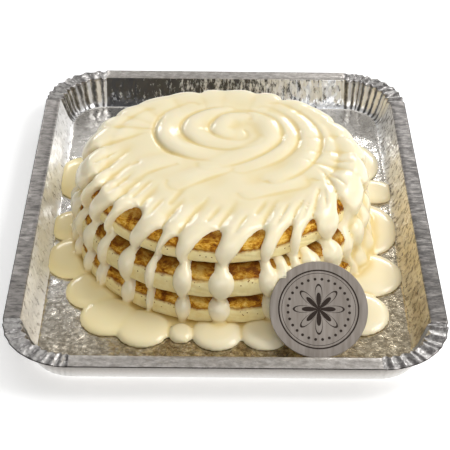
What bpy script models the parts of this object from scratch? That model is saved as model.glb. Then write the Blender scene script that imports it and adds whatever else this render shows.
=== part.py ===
# Three thick pancakes under white chocolate sauce, on a foil covered board tray.
# Units are metres, +Z is up, and the origin is the centre of the tray's underside.
# Azimuths are in degrees from the front (-Y) of the stack, positive towards +X.

import math
import random

import bmesh
import bpy
from mathutils import Vector

MM = 0.001
CLEARANCE = 0.3 * MM
SAUCE_CLEARANCE = 0.75 * MM
SAUCE_CLEARANCE_DISC = 1.2 * MM

# Tray: a rounded rectangle with pleated corners, sloping walls and a flat flange
TRAY_WIDTH = 225 * MM
TRAY_LENGTH = 285 * MM
TRAY_CORNER_RADIUS = 36 * MM
TRAY_FLANGE_TOP = 19 * MM
TRAY_FLANGE_WIDTH = 8 * MM
TRAY_LIP_WIDTH = 1.2 * MM
TRAY_LIP_HEIGHT = 0.35 * MM
TRAY_WALL_RUN = 7 * MM
TRAY_FLOOR_TOP = 1 * MM
TRAY_BOARD = 0.8 * MM
TRAY_EDGE_ROUND = 1 * MM
PLEATS_PER_CORNER = 9
PLEAT_DEPTH = 0.7 * MM

# Pancakes, from the tray up: centre (x, y) and radius
PANCAKE_THICKNESS = 16 * MM
PANCAKES = {
    "pancake_bottom": (-2.5 * MM, -8.5 * MM, 81.5 * MM),
    "pancake_middle": (-2.5 * MM, -7.5 * MM, 81.0 * MM),
    "pancake_top": (-2.0 * MM, -6.0 * MM, 75.0 * MM),
}
PANCAKE_SEGMENTS = 44
PANCAKE_UPPER_ROUND = (9.5 * MM, 9.5 * MM)
PANCAKE_LOWER_ROUND = (4 * MM, 2.8 * MM)
PANCAKE_WOBBLE = 0.5 * MM
RIM_UPPER_END = 0.62
RIM_LOWER_START = 0.84
FLAT_TOP_SCALE = 30 * MM

# Sauce on the top: a cap, the crest lines of a poured swirl, and streams that lead out to the drips
CAP_THICKNESS = 2.7 * MM
CAP_STATIONS = [(0.33, -2 * MM), (0.26, 1.8 * MM), (0.18, CAP_THICKNESS), (0.05, CAP_THICKNESS),
                (-0.4, CAP_THICKNESS)]
RIM_SWELL = 3 * MM
# Crest points are x, y and height over the cap, in mm
SWIRL_RIDGES = [
    [(6, 14, 0.4), (-3.5, 20, 1.1), (2, 32, 1.0), (9, 33, 0.8)],
    [(-10, 35.5, 1.0), (-17.5, 29, 1.4), (-20, 20, 1.5), (-17, 13, 1.5), (-11, 8, 1.1), (0, 5.5, 0.5)],
    [(-20, 42, 0.3), (-30, 34, 0.8), (-34.5, 22, 1.5), (-34, 12, 1.9), (-30, 4, 2.0), (-24, -1, 1.5),
     (-12, -6, 0.4)],
    [(14, 33.5, 0.8), (21, 29, 1.1), (25, 20, 1.4), (25, 11, 1.5), (20, 3, 1.4), (12.5, -4, 1.2),
     (0, -11, 0.5)],
    [(22, 38, 0.3), (30, 29, 0.9), (34.5, 17, 1.2), (33.5, 6, 1.2), (28, -4, 1.0), (18, -12, 0.4)],
    [(29, 42, 0.4), (40, 30, 1.1), (46, 17, 1.5), (47, 4, 1.5), (43, -9, 1.3), (36, -19, 1.0),
     (26, -28, 0.5)],
    [(51, 26, 0.9), (56, 12, 1.1), (57, -2, 1.0), (54, -14, 0.8)],
    [(-51, 25, 0.7), (-60, 14, 0.8), (-67, 5, 0.6)],
]
SWIRL_RIDGE = 5 * MM
# The skin's smoothing lowers a crest by about this much
MELT_LOSS = 0.9 * MM
POUR_DIRECTION = (-0.45, -0.89)
STREAM_LENGTH = 28 * MM
STREAM_SHARES = (1.0, 0.7, 0.4, 0.15)
STREAM_HALF_WIDTH = 6 * MM
STREAM_RELIEF = (0.8 * MM, 2.0 * MM)
STREAM_OUTWARD = 0.5
STREAM_BACK_AZIMUTHS = (95, 135)

# Openings between the drips where the stack is seen: azimuth and half width in mm
FRONT_OPENINGS = [
    (-94.5, 3.5), (-75.4, 3.6), (-67.4, 3.2), (-55.3, 3.4), (-44.9, 7.2), (-30, 3.6), (-22, 3.2),
    (-8.5, 5.8), (9.8, 5.4), (24, 3.8), (36.5, 5.8), (57.5, 5.0), (75, 4.5),
]
BACK_OPENING_STEP = 14
BACK_OPENING_DRIFT = 2
BACK_OPENING_HALF_WIDTHS = (3.0, 5.0)
# Extra runs on the lower pancakes at the right: azimuth and half width in mm
RIGHT_RUNS = [(24, 6.0), (37, 6.5), (55, 6.0), (72, 6.0), (87, 5.5)]
LOWER_DRIP_DRIFT = 1.2
LOWER_DRIP_SHARE = (0.9, 1.05)
LOWER_DRIP_OF_FREE = 0.55
LOWER_DRIP_HALF_WIDTHS = (3 * MM, 7.2 * MM)
DRIP_RELIEF = 4.2 * MM
TOP_DRIP_STATIONS = [(0.12, 1.25), (0.3, 1.2), (0.48, 1.05), (0.64, 0.86), (0.84, 0.6), (1.0, 0.36)]
LOWER_DRIP_STATIONS = [(0.2, 0.4), (0.36, 0.85), (0.56, 1.05), (0.76, 0.95), (0.9, 0.65), (1.02, 0.4)]
NECK_RADIUS = 1.5 * MM
NECK_OUT = 0.3 * MM
NECK_BACK = 2.5 * MM
NECK_RISE = 3 * MM
NECK_BEND = 0.5 * MM
NECK_DROP = 4 * MM

# Pool round the stack
POOL_CENTRE = (-2 * MM, -8 * MM)
POOL_RING_RADIUS = 80 * MM
POOL_RING_WIDTH = 9 * MM
POOL_HEIGHT = 6.2 * MM
POOL_RING_HEIGHT = 0.5 * POOL_HEIGHT
LOBE_GROWTH = 1.3 * MM
# Lobes where the pool is seen: centre x and y, half width along x and along y, in mm
POOL_LOBES = [
    (-86, 44, 15.5, 22), (-86.5, -5, 14, 14.5), (-84.5, -35, 15, 18), (-71, -63, 15, 15.5),
    (-61, -84.5, 15.5, 15.5), (-43, -93.5, 14.5, 15), (-23, -97.5, 6.5, 7.5), (-4.5, -97, 13.5, 13.5),
    (20.5, -97, 13, 13),
    (46, -90, 15, 14), (69, -80, 18, 18), (77, -47, 20, 19), (78, -5, 20.5, 25), (91, 32, 13.5, 13),
    (75, 62, 18.5, 23),
]
BACK_LOBE_AZIMUTHS = (150, 215)
BACK_LOBE_STEP = 13
BACK_LOBE_REACH = (95, 99)
BACK_LOBE_RADIUS = (14, 18)

# Space and mesh density of the sauce
SAUCE_CEILING = 70 * MM
WELD_DISTANCE = 0.001 * MM
SAUCE_VOXEL = 1.2 * MM
SAUCE_SMOOTHING = 3
SAUCE_LAST_SMOOTHING = 1
SAUCE_TRIANGLES = 7000

# Label disc: a plain round card, leaning back against the stack
DISC_DIAMETER = 50.5 * MM
DISC_THICKNESS = 1.2 * MM
DISC_FOOT = (47.6 * MM, -116 * MM)
DISC_LEAN_DEGREES = 52
DISC_SEGMENTS = 48

RANDOM = random.Random(7)


def clear_scene():
    for item in list(bpy.data.objects):
        bpy.data.objects.remove(item, do_unlink=True)


def make_material(name, colour, roughness, metallic=0.0):
    material = bpy.data.materials.new(name)
    material.use_nodes = True
    shader = material.node_tree.nodes["Principled BSDF"]
    shader.inputs["Base Color"].default_value = (*colour, 1.0)
    shader.inputs["Roughness"].default_value = roughness
    shader.inputs["Metallic"].default_value = metallic
    return material


def make_object(name, mesh):
    item = bpy.data.objects.new(name, mesh)
    bpy.context.scene.collection.objects.link(item)
    return item


def mesh_from_rings(name, rings):
    """Skin a list of point rings, first at the bottom, and close both ends."""
    shape = bmesh.new()
    vertex_rings = [[shape.verts.new(point) for point in ring] for ring in rings]
    count = len(rings[0])
    for lower, upper in zip(vertex_rings, vertex_rings[1:]):
        for index in range(count):
            following = (index + 1) % count
            shape.faces.new((lower[index], lower[following], upper[following], upper[index]))
    shape.faces.new(list(reversed(vertex_rings[0])))
    shape.faces.new(vertex_rings[-1])
    mesh = bpy.data.meshes.new(name)
    shape.to_mesh(mesh)
    shape.free()
    return mesh


def shade_smooth(item, sharp_degrees=40):
    item.data.shade_smooth()
    item.data.set_sharp_from_angle(angle=math.radians(sharp_degrees))


def on_circle(centre, azimuth, radius):
    angle = math.radians(azimuth)
    return centre[0] + radius * math.sin(angle), centre[1] - radius * math.cos(angle)


# Tray


def tray_ring(inset, height, pleat_depth):
    """Points of the tray's outline, moved in by inset, with the corner pleats in step."""
    steps = 2 * PLEATS_PER_CORNER
    radius = TRAY_CORNER_RADIUS - inset
    points = []
    for corner in range(4):
        side_x = 1 if corner in (0, 3) else -1
        side_y = 1 if corner in (0, 1) else -1
        centre_x = side_x * (TRAY_WIDTH / 2 - TRAY_CORNER_RADIUS)
        centre_y = side_y * (TRAY_LENGTH / 2 - TRAY_CORNER_RADIUS)
        for step in range(steps + 1):
            angle = math.pi / 2 * (corner + step / steps)
            dip = pleat_depth if step % 2 else 0.0
            points.append(Vector((centre_x + (radius - dip) * math.cos(angle),
                                  centre_y + (radius - dip) * math.sin(angle), height)))
    return points


def make_tray():
    """A sheet of board: its outer wall runs one board's thickness outside its inner wall."""
    wall_top = TRAY_FLANGE_WIDTH
    wall_foot = TRAY_FLANGE_WIDTH + TRAY_WALL_RUN
    inner_top = wall_top + TRAY_EDGE_ROUND
    inner_high = TRAY_FLANGE_TOP - TRAY_EDGE_ROUND
    lean = (TRAY_WALL_RUN - 2 * TRAY_EDGE_ROUND) / (inner_high - TRAY_FLOOR_TOP - TRAY_EDGE_ROUND)
    outer_top = inner_top - TRAY_BOARD * math.sqrt(1 + lean ** 2)
    under_flange = TRAY_FLANGE_TOP - TRAY_BOARD
    sections = [
        (outer_top + lean * inner_high, 0.0, 0.0),
        (outer_top + lean * (inner_high - under_flange), under_flange, PLEAT_DEPTH),
        (TRAY_LIP_WIDTH, under_flange, PLEAT_DEPTH),
        (0.0, TRAY_FLANGE_TOP - TRAY_BOARD / 2, PLEAT_DEPTH / 2),
        (TRAY_LIP_WIDTH / 2, TRAY_FLANGE_TOP + TRAY_LIP_HEIGHT, PLEAT_DEPTH / 2),
        (2 * TRAY_LIP_WIDTH, TRAY_FLANGE_TOP, PLEAT_DEPTH),
        (wall_top, TRAY_FLANGE_TOP, PLEAT_DEPTH),
        (inner_top, inner_high, PLEAT_DEPTH),
        (wall_foot - TRAY_EDGE_ROUND, TRAY_FLOOR_TOP + TRAY_EDGE_ROUND, PLEAT_DEPTH / 2),
        (wall_foot + TRAY_EDGE_ROUND, TRAY_FLOOR_TOP, 0.0),
    ]
    mesh = mesh_from_rings("tray", [tray_ring(*section) for section in sections])
    tray = make_object("tray", mesh)
    tray.data.materials.append(make_material("foil", (0.60, 0.57, 0.53), 0.28, 0.95))
    shade_smooth(tray, 25)
    return tray


# Pancakes


def rim_profile(position):
    """Distance in from the pancake's radius, height and outward normal along its rim.

    Position runs from 0, where the flat top ends, to 1, where the flat underside starts.
    """
    upper_in, upper_high = PANCAKE_UPPER_ROUND
    lower_in, lower_high = PANCAKE_LOWER_ROUND
    shoulder = PANCAKE_THICKNESS - upper_high
    if position <= 0:
        return upper_in - position * FLAT_TOP_SCALE, PANCAKE_THICKNESS, (0.0, 1.0)
    if position < RIM_UPPER_END:
        angle = math.pi / 2 * (1 - position / RIM_UPPER_END)
        normal = Vector((math.cos(angle) / upper_in, math.sin(angle) / upper_high)).normalized()
        return upper_in * (1 - math.cos(angle)), shoulder + upper_high * math.sin(angle), tuple(normal)
    if position < RIM_LOWER_START:
        share = (position - RIM_UPPER_END) / (RIM_LOWER_START - RIM_UPPER_END)
        return 0.0, shoulder + share * (lower_high - shoulder), (1.0, 0.0)
    angle = math.pi / 2 * min(1.0, (position - RIM_LOWER_START) / (1 - RIM_LOWER_START))
    normal = (math.cos(angle), -math.sin(angle))
    return lower_in * (1 - math.cos(angle)), lower_high * (1 - math.sin(angle)), normal


def pancake_base(name):
    """Height of a pancake's underside: each lies on the one below, or on the tray."""
    level = list(PANCAKES).index(name)
    return TRAY_FLOOR_TOP + CLEARANCE + level * (PANCAKE_THICKNESS + CLEARANCE)


def pancake_wobble(name, azimuth):
    """A hand poured outline is never quite round."""
    phase = 1.7 * list(PANCAKES).index(name)
    angle = math.radians(azimuth)
    return PANCAKE_WOBBLE * (math.sin(2 * angle + phase) + 0.6 * math.sin(5 * angle + 2 * phase))


def pancake_mesh(name, grown=0.0):
    """One pancake, or with grown above 0 the space that it needs kept free."""
    centre_x, centre_y, radius = PANCAKES[name]
    base = pancake_base(name)
    positions = [1.0, 0.92, 0.84, 0.62, 0.47, 0.31, 0.16, 0.0]
    rings = []
    for position in positions:
        inward, height, (normal_out, normal_up) = rim_profile(position)
        if position == 1.0:
            normal_up = -1.0
        ring = []
        for segment in range(PANCAKE_SEGMENTS):
            azimuth = 360 * segment / PANCAKE_SEGMENTS
            reach = radius - inward + pancake_wobble(name, azimuth) + grown * normal_out
            point_x, point_y = on_circle((centre_x, centre_y), azimuth, reach)
            ring.append(Vector((point_x, point_y, base + height + grown * normal_up)))
        rings.append(ring)
    return mesh_from_rings(name, rings)


def make_pancakes():
    colours = {"pancake_bottom": (0.56, 0.30, 0.09), "pancake_middle": (0.58, 0.31, 0.10),
               "pancake_top": (0.60, 0.33, 0.11)}
    for name in PANCAKES:
        pancake = make_object(name, pancake_mesh(name))
        pancake.data.materials.append(make_material(name + "_crumb", colours[name], 0.7))
        shade_smooth(pancake, 50)


# Label disc


def make_disc(name, grown=0.0):
    mesh = bpy.data.meshes.new(name)
    shape = bmesh.new()
    bmesh.ops.create_cone(shape, cap_ends=True, segments=DISC_SEGMENTS,
                          radius1=DISC_DIAMETER / 2 + grown, radius2=DISC_DIAMETER / 2 + grown,
                          depth=DISC_THICKNESS + 2 * grown)
    shape.to_mesh(mesh)
    shape.free()
    disc = make_object(name, mesh)
    lean = math.radians(DISC_LEAN_DEGREES)
    up_disc = Vector((0.0, math.sin(lean), math.cos(lean)))
    foot = Vector((*DISC_FOOT, TRAY_FLOOR_TOP + CLEARANCE + DISC_THICKNESS * math.sin(lean)))
    disc.location = foot + up_disc * DISC_DIAMETER / 2
    disc.rotation_euler = (math.pi / 2 - lean, 0.0, 0.0)
    return disc


# Sauce


def tube(name, points, radii):
    """A round tube through the points, with a radius at each."""
    curve = bpy.data.curves.new(name, "CURVE")
    curve.dimensions = "3D"
    curve.bevel_depth = 1.0
    curve.bevel_resolution = 3
    curve.use_fill_caps = True
    spline = curve.splines.new("POLY")
    spline.points.add(len(points) - 1)
    for control, point, radius in zip(spline.points, points, radii):
        control.co = (*point, 1.0)
        control.radius = radius
    return curve


def drip_points(pancake, azimuth, half_width, stations):
    """Centres and radii of a drip that lies on the rim with DRIP_RELIEF of it standing proud."""
    centre_x, centre_y, radius = PANCAKES[pancake]
    points = []
    radii = []
    for position, share in stations:
        inward, height, (normal_out, normal_up) = rim_profile(position)
        width = half_width * share
        proud = DRIP_RELIEF * min(1.0, 0.55 + share / 2)
        ball = (width ** 2 + proud ** 2) / (2 * proud)
        swell = rim_swell(azimuth) * normal_out if pancake == "pancake_top" else 0.0
        reach = radius - inward + pancake_wobble(pancake, azimuth) + (proud - ball) * normal_out + swell
        point_x, point_y = on_circle((centre_x, centre_y), azimuth, reach)
        points.append(Vector((point_x, point_y, pancake_base(pancake) + height + (proud - ball) * normal_up)))
        radii.append(ball)
    return points, radii


def rim_swell(azimuth):
    """The sauce hangs thicker over the top rim at the sides than at the front and the back."""
    return RIM_SWELL * math.sin(math.radians(azimuth)) ** 2


def openings():
    """Azimuth and half width of every opening, going round once from the first shown one."""
    chosen = list(FRONT_OPENINGS)
    first_back = FRONT_OPENINGS[-1][0]
    back_span = 360 + FRONT_OPENINGS[0][0] - first_back
    count = round(back_span / BACK_OPENING_STEP)
    for index in range(1, count):
        drift = RANDOM.uniform(-BACK_OPENING_DRIFT, BACK_OPENING_DRIFT)
        azimuth = first_back + index * back_span / count + drift
        chosen.append((azimuth, RANDOM.uniform(*BACK_OPENING_HALF_WIDTHS)))
    first_azimuth, first_half_width = FRONT_OPENINGS[0]
    return chosen + [(first_azimuth + 360, first_half_width)]


def drips():
    """Azimuth of the drip between each pair of openings, and half the width left for it."""
    radius = PANCAKES["pancake_top"][2]
    chosen = openings()
    found = []
    for (before, before_width), (after, after_width) in zip(chosen, chosen[1:]):
        free = math.radians(after - before) * radius - (before_width + after_width) * MM
        left = before + math.degrees(before_width * MM / radius)
        right = after - math.degrees(after_width * MM / radius)
        found.append(((left + right) / 2, free / 2))
    return found


def add_cap(pieces):
    """A skin over the top pancake and the upper part of its rim."""
    centre_x, centre_y, radius = PANCAKES["pancake_top"]
    rings = []
    for position, thickness in CAP_STATIONS:
        inward, height, (normal_out, normal_up) = rim_profile(position)
        ring = []
        for segment in range(PANCAKE_SEGMENTS):
            azimuth = 360 * segment / PANCAKE_SEGMENTS
            swell = rim_swell(azimuth) * normal_out if thickness > 0 else 0.0
            reach = radius - inward + thickness * normal_out + swell
            point_x, point_y = on_circle((centre_x, centre_y), azimuth, reach)
            point_z = pancake_base("pancake_top") + height + thickness * normal_up
            ring.append(Vector((point_x, point_y, point_z)))
        rings.append(ring)
    pieces.append(make_object("cap", mesh_from_rings("cap", rings)))


def add_swirl(pieces):
    top = pancake_base("pancake_top") + PANCAKE_THICKNESS + CAP_THICKNESS
    for ridge in SWIRL_RIDGES:
        points = [Vector((crest_x * MM, crest_y * MM, top + height * MM + MELT_LOSS - SWIRL_RIDGE))
                  for crest_x, crest_y, height in ridge]
        pieces.append(make_object("swirl", tube("swirl", points, [SWIRL_RIDGE] * len(points))))


def stream_direction(azimuth):
    """Streams lean the way the pour fell, and run straight out at the back."""
    turned = (azimuth + 180) % 360 - 180
    back_start, back_end = STREAM_BACK_AZIMUTHS
    behind = min(1.0, max(0.0, (abs(turned) - back_start) / (back_end - back_start)))
    outward = STREAM_OUTWARD + (1 - STREAM_OUTWARD) * behind
    angle = math.radians(azimuth)
    radial = Vector((math.sin(angle), -math.cos(angle)))
    return (radial * outward + Vector(POUR_DIRECTION) * (1 - outward)).normalized()


def add_streams(pieces):
    """Each stream runs out over the cap to the rim, and there turns down into its drip."""
    top = pancake_base("pancake_top") + PANCAKE_THICKNESS + CAP_THICKNESS
    start_relief, end_relief = STREAM_RELIEF
    narrowest, widest = LOWER_DRIP_HALF_WIDTHS
    for azimuth, half_width in drips():
        points, radii = drip_points("pancake_top", azimuth, half_width, TOP_DRIP_STATIONS)
        inward = -stream_direction(azimuth) * STREAM_LENGTH
        lead = []
        for share in STREAM_SHARES:
            relief = start_relief + (end_relief - start_relief) * (1 - share)
            lead.append(Vector((points[0].x + inward.x * share, points[0].y + inward.y * share,
                                top + relief - STREAM_HALF_WIDTH)))
        widths = [STREAM_HALF_WIDTH] * len(lead)
        pieces.append(make_object("stream", tube("stream", lead + points, widths + radii)))
        lower = min(widest, max(narrowest, 2 * LOWER_DRIP_OF_FREE * half_width))
        for pancake in ("pancake_middle", "pancake_bottom"):
            offset = RANDOM.uniform(-LOWER_DRIP_DRIFT, LOWER_DRIP_DRIFT)
            add_lower_drip(pieces, pancake, azimuth + offset, lower * RANDOM.uniform(*LOWER_DRIP_SHARE))
        add_necks(pieces, azimuth)
    for azimuth, half_width in RIGHT_RUNS:
        for pancake in ("pancake_middle", "pancake_bottom"):
            add_lower_drip(pieces, pancake, azimuth, half_width * MM)
        add_necks(pieces, azimuth)


def add_lower_drip(pieces, pancake, azimuth, half_width):
    points, radii = drip_points(pancake, azimuth, half_width, LOWER_DRIP_STATIONS)
    pieces.append(make_object("drip", tube("drip", points, radii)))


def add_necks(pieces, azimuth):
    """Thin threads that carry each drip over the groove between two pancakes."""
    names = list(PANCAKES)
    for lower, upper in zip(names, names[1:]):
        over_x, over_y, over_radius = PANCAKES[upper]
        under_x, under_y, under_radius = PANCAKES[lower]
        above = on_circle((over_x, over_y), azimuth, over_radius + NECK_OUT)
        below = on_circle((under_x, under_y), azimuth, under_radius - NECK_BACK)
        base = pancake_base(upper)
        points = [Vector((*above, base + NECK_RISE)), Vector((*above, base + NECK_BEND)),
                  Vector((*below, base - NECK_DROP))]
        pieces.append(make_object("neck", tube("neck", points, [NECK_RADIUS] * len(points))))


def add_pool(pieces):
    """A low ring round the stack, with the lobes that ran out from it."""
    lobes = [tuple(value * MM for value in lobe) for lobe in POOL_LOBES]
    first, last = BACK_LOBE_AZIMUTHS
    for index in range(int((last - first) / BACK_LOBE_STEP) + 1):
        radius = RANDOM.uniform(*BACK_LOBE_RADIUS) * MM
        reach = RANDOM.uniform(*BACK_LOBE_REACH) * MM
        centre = on_circle(POOL_CENTRE, first + index * BACK_LOBE_STEP, reach - radius)
        lobes.append((*centre, radius, radius))
    for centre_x, centre_y, half_x, half_y in lobes:
        shape = bmesh.new()
        bmesh.ops.create_uvsphere(shape, u_segments=20, v_segments=10, radius=1)
        scale = (half_x + LOBE_GROWTH, half_y + LOBE_GROWTH, POOL_HEIGHT)
        bmesh.ops.scale(shape, vec=scale, verts=shape.verts)
        mesh = bpy.data.meshes.new("lobe")
        shape.to_mesh(mesh)
        shape.free()
        lobe = make_object("lobe", mesh)
        lobe.location = (centre_x, centre_y, TRAY_FLOOR_TOP)
        pieces.append(lobe)
    ring = []
    for segment in range(PANCAKE_SEGMENTS):
        azimuth = 360 * segment / PANCAKE_SEGMENTS
        ring.append(Vector((*on_circle(POOL_CENTRE, azimuth, POOL_RING_RADIUS), TRAY_FLOOR_TOP)))
    curve = tube("pool_ring", ring, [POOL_RING_WIDTH] * len(ring))
    curve.splines[0].use_cyclic_u = True
    base = make_object("pool_ring", curve)
    base.scale = (1, 1, POOL_RING_HEIGHT / POOL_RING_WIDTH)
    base.location.z = TRAY_FLOOR_TOP * (1 - base.scale.z)
    pieces.append(base)


def allowed_space():
    """The inside of the tray, just clear of its floor and sloping walls, as one solid."""
    foot = TRAY_FLANGE_WIDTH + TRAY_WALL_RUN + TRAY_EDGE_ROUND + 2 * CLEARANCE
    slope = (TRAY_WALL_RUN + TRAY_EDGE_ROUND) / (TRAY_FLANGE_TOP - TRAY_FLOOR_TOP)
    low = TRAY_FLOOR_TOP + SAUCE_CLEARANCE
    rim = TRAY_FLANGE_TOP
    return mesh_from_rings("allowed", [tray_ring(foot, low, 0.0),
                                       tray_ring(foot - slope * (rim - low), rim, 0.0),
                                       tray_ring(foot - slope * (rim - low), SAUCE_CEILING, 0.0)])


def apply_modifiers(item):
    depsgraph = bpy.context.evaluated_depsgraph_get()
    mesh = bpy.data.meshes.new_from_object(item.evaluated_get(depsgraph))
    item.modifiers.clear()
    item.data = mesh


def gather(name, items):
    """One mesh object of all the items, their tube ends joined on and their transforms applied."""
    depsgraph = bpy.context.evaluated_depsgraph_get()
    shape = bmesh.new()
    for item in items:
        mesh = bpy.data.meshes.new_from_object(item.evaluated_get(depsgraph))
        mesh.transform(item.matrix_world)
        shape.from_mesh(mesh)
        bpy.data.meshes.remove(mesh)
    bmesh.ops.remove_doubles(shape, verts=shape.verts, dist=WELD_DISTANCE)
    mesh = bpy.data.meshes.new(name)
    shape.to_mesh(mesh)
    shape.free()
    for item in items:
        bpy.data.objects.remove(item, do_unlink=True)
    return make_object(name, mesh)


def boolean(item, operation, other):
    cut = item.modifiers.new(operation.lower(), "BOOLEAN")
    cut.operation = operation
    cut.solver = "EXACT"
    cut.object = other
    apply_modifiers(item)
    bpy.data.objects.remove(other, do_unlink=True)


def keep_largest_body(item):
    """Drop the loose scraps that a cut leaves, keeping the body with the most faces."""
    shape = bmesh.new()
    shape.from_mesh(item.data)
    left = set(shape.verts)
    bodies = []
    while left:
        front = [left.pop()]
        body = set(front)
        while front:
            vertex = front.pop()
            for edge in vertex.link_edges:
                other = edge.other_vert(vertex)
                if other in left:
                    left.remove(other)
                    body.add(other)
                    front.append(other)
        bodies.append(body)
    bodies.sort(key=len)
    scraps = [vertex for body in bodies[:-1] for vertex in body]
    bmesh.ops.delete(shape, geom=scraps, context="VERTS")
    shape.to_mesh(item.data)
    shape.free()


def melt(item, smoothing):
    """Make one even skin of everything in the item, and round it off."""
    remesh = item.modifiers.new("melt", "REMESH")
    remesh.mode = "VOXEL"
    remesh.voxel_size = SAUCE_VOXEL
    smooth = item.modifiers.new("soften", "SMOOTH")
    smooth.iterations = smoothing
    apply_modifiers(item)


def make_sauce():
    pieces = []
    add_cap(pieces)
    add_swirl(pieces)
    add_streams(pieces)
    add_pool(pieces)
    bpy.context.view_layer.update()
    sauce = gather("white_chocolate", pieces)
    melt(sauce, SAUCE_SMOOTHING)
    boolean(sauce, "INTERSECT", make_object("allowed", allowed_space()))
    for name in PANCAKES:
        boolean(sauce, "DIFFERENCE", make_object("space_" + name, pancake_mesh(name, SAUCE_CLEARANCE)))
    boolean(sauce, "DIFFERENCE", make_disc("space_disc", SAUCE_CLEARANCE_DISC))
    melt(sauce, SAUCE_LAST_SMOOTHING)
    keep_largest_body(sauce)
    count_triangles = sum(len(face.vertices) - 2 for face in sauce.data.polygons)
    decimate = sauce.modifiers.new("thin_out", "DECIMATE")
    decimate.ratio = SAUCE_TRIANGLES / count_triangles
    apply_modifiers(sauce)
    sauce.data.materials.clear()
    sauce.data.materials.append(make_material("white_chocolate", (0.86, 0.74, 0.52), 0.3))
    shade_smooth(sauce, 60)
    return sauce


def main():
    clear_scene()
    make_tray()
    make_pancakes()
    disc = make_disc("label_disc")
    disc.data.materials.append(make_material("label_card", (0.34, 0.31, 0.28), 0.45))
    shade_smooth(disc)
    make_sauce()


main()
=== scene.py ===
# Looks of three thick pancakes under white chocolate sauce, on a foil covered board tray.
# Sizes are in metres unless a name or a comment says mm. Azimuths are in degrees from the
# front (-Y) of the stack, positive towards +X. Colours are red, green and blue.

import itertools
import math
import random

import bpy
import numpy as np
from mathutils import Matrix, Vector


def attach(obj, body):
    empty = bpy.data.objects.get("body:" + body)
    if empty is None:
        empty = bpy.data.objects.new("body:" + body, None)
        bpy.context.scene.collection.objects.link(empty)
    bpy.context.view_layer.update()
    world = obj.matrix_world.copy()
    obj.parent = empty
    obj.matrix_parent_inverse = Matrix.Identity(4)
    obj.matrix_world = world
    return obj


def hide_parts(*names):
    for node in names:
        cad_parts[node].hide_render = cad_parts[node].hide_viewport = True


MM = 0.001
FLAT = (1.0, 1.0, 0.0)
WHITE = (1.0, 1.0, 1.0)
CORNER_SIGNS = ((1, 1), (-1, 1), (-1, -1), (1, -1))

# Camera, fitted to the tray's flange and floor: angles in degrees, lens and sensor in mm
CAMERA_PLACE = (-5.39 * MM, -641.72 * MM, 472.99 * MM)
CAMERA_TURN = 0.467
CAMERA_DOWN = 36.39
CAMERA_ROLL = 0.8285
CAMERA_LENS = 110.97
CAMERA_SENSOR = 36

# Tray
TRAY_HALF = (0.1125, 0.1425)
TRAY_CORNER_RADIUS = 36 * MM
FLANGE_TOP = 19 * MM
FLANGE_WIDTH = 8 * MM
LIP_WIDTH = 1.2 * MM
WALL_RUN = 7 * MM
FLOOR_TOP = 1 * MM
FOOT_ROUND = 4 * MM
BOARD = 0.8 * MM
EDGE_ROUND = 1 * MM
PLEATS_PER_CORNER = 9
PLEAT_DEPTH = 2.0 * MM
PLEAT_RIPPLE = 1.1 * MM
# Widths and depths of the pleats against each other, and the power that narrows their crests
PLEAT_WIDTHS = (0.6, 1.5)
PLEAT_DEPTHS = (0.45, 1.0)
PLEAT_POWER = 1.5
POINTS_PER_CORNER = 120
POINTS_PER_SIDE = 60
WALL_ROWS = 12
FOOT_ROWS = 8
FLOOR_RINGS = 60
FACET_SIZES = (9 * MM, 4.5 * MM)
FACET_LIFT = 0.16 * MM
# Lift of the small facets against the large ones, and of both on the flange
SMALL_FACET_SHARE = 0.6
FLANGE_FACET_SHARE = 0.3
# How high over the floor its faces lie, and how low under the flange's top the flange's faces do,
# at the corners and along the sides
FLOOR_SPAN = 0.4 * MM
CORNER_FLANGE_SPAN = 1.5 * MM
FLANGE_SPAN = 0.5 * MM
# Name of the points' value that tells the two flanks of a pleat apart
FLANK = "pleat_flank"

# Pancakes, from the tray up: centre x and y, and radius, in mm
PANCAKE_THICKNESS = 16
PANCAKE_GAP = 0.3
PANCAKES = {
    "pancake_bottom": (-2.5, -8.5, 81.5),
    "pancake_middle": (-2.5, -7.5, 81.0),
    "pancake_top": (-2.0, -6.0, 75.0),
}
# Width and height of the rounds, swing of the outline and height of the pale band, in mm
UPPER_ROUND = (9.5, 9.5)
LOWER_ROUND = (4.0, 2.8)
PANCAKE_WOBBLE = 0.5
PALE_TOPS = {"pancake_bottom": 8.8, "pancake_middle": 10.2, "pancake_top": 7.4}
PANCAKE_SEGMENTS = 360
RIM_ROWS = 46
# Depth of the long dents all round and of the short ones in the crust, in mm
LONG_DENT = 0.12
SHORT_DENT = 0.16
# Places along the rim's profile where the upper round ends and the lower one starts
UPPER_END = 0.62
LOWER_START = 0.84
# Places on the flat top, before the profile's start, and how far in a place of -1 lies, in mm
TOP_PLACES = [-0.4, -1.0, -1.7]
TOP_REACH = 30

# Sauce, in mm
SAUCE_STEP = 1.0
SAUCE_LOW = (-106, -118, 0.4)
SAUCE_HIGH = (108, 108, 57)
# Widths over which its forms run together
LINK_BLEND = 0.8
NECK_BLEND = 1.5
TIER_BLEND = 1.0
LOBE_BLEND = 0.6
POOL_BLEND = 1.2
CURTAIN_BLEND = 2.0
# How far it reaches into the pancakes, and how far it stays off the card
SAUCE_BITE = 1.6
SAUCE_CLEARANCE = 0.25
# Share of its faces that is kept, and what a point that shows weighs there against a hidden one
SAUCE_FACE_SHARE = 0.41
SHOWN_WEIGHT = 0.1
# Share of its bite at which a point in a pancake counts as hidden
HIDDEN_SHARE = 0.7
# Name of the points' value for the height over the surface round them, which paints shade into the sauce's
# dips, and how that is worked out
STANDING = "standing"
STANDING_ROUNDS = 24
STANDING_SPAN = 1.6
CAP_THICKNESS = 2.5
# Swelling of the rim at both sides, and where it starts inside the radius and the run of it
RIM_SWELL = 3.0
RIM_SWELL_START = -12
RIM_SWELL_RUN = 10
UNEVENNESS = 0.22
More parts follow.
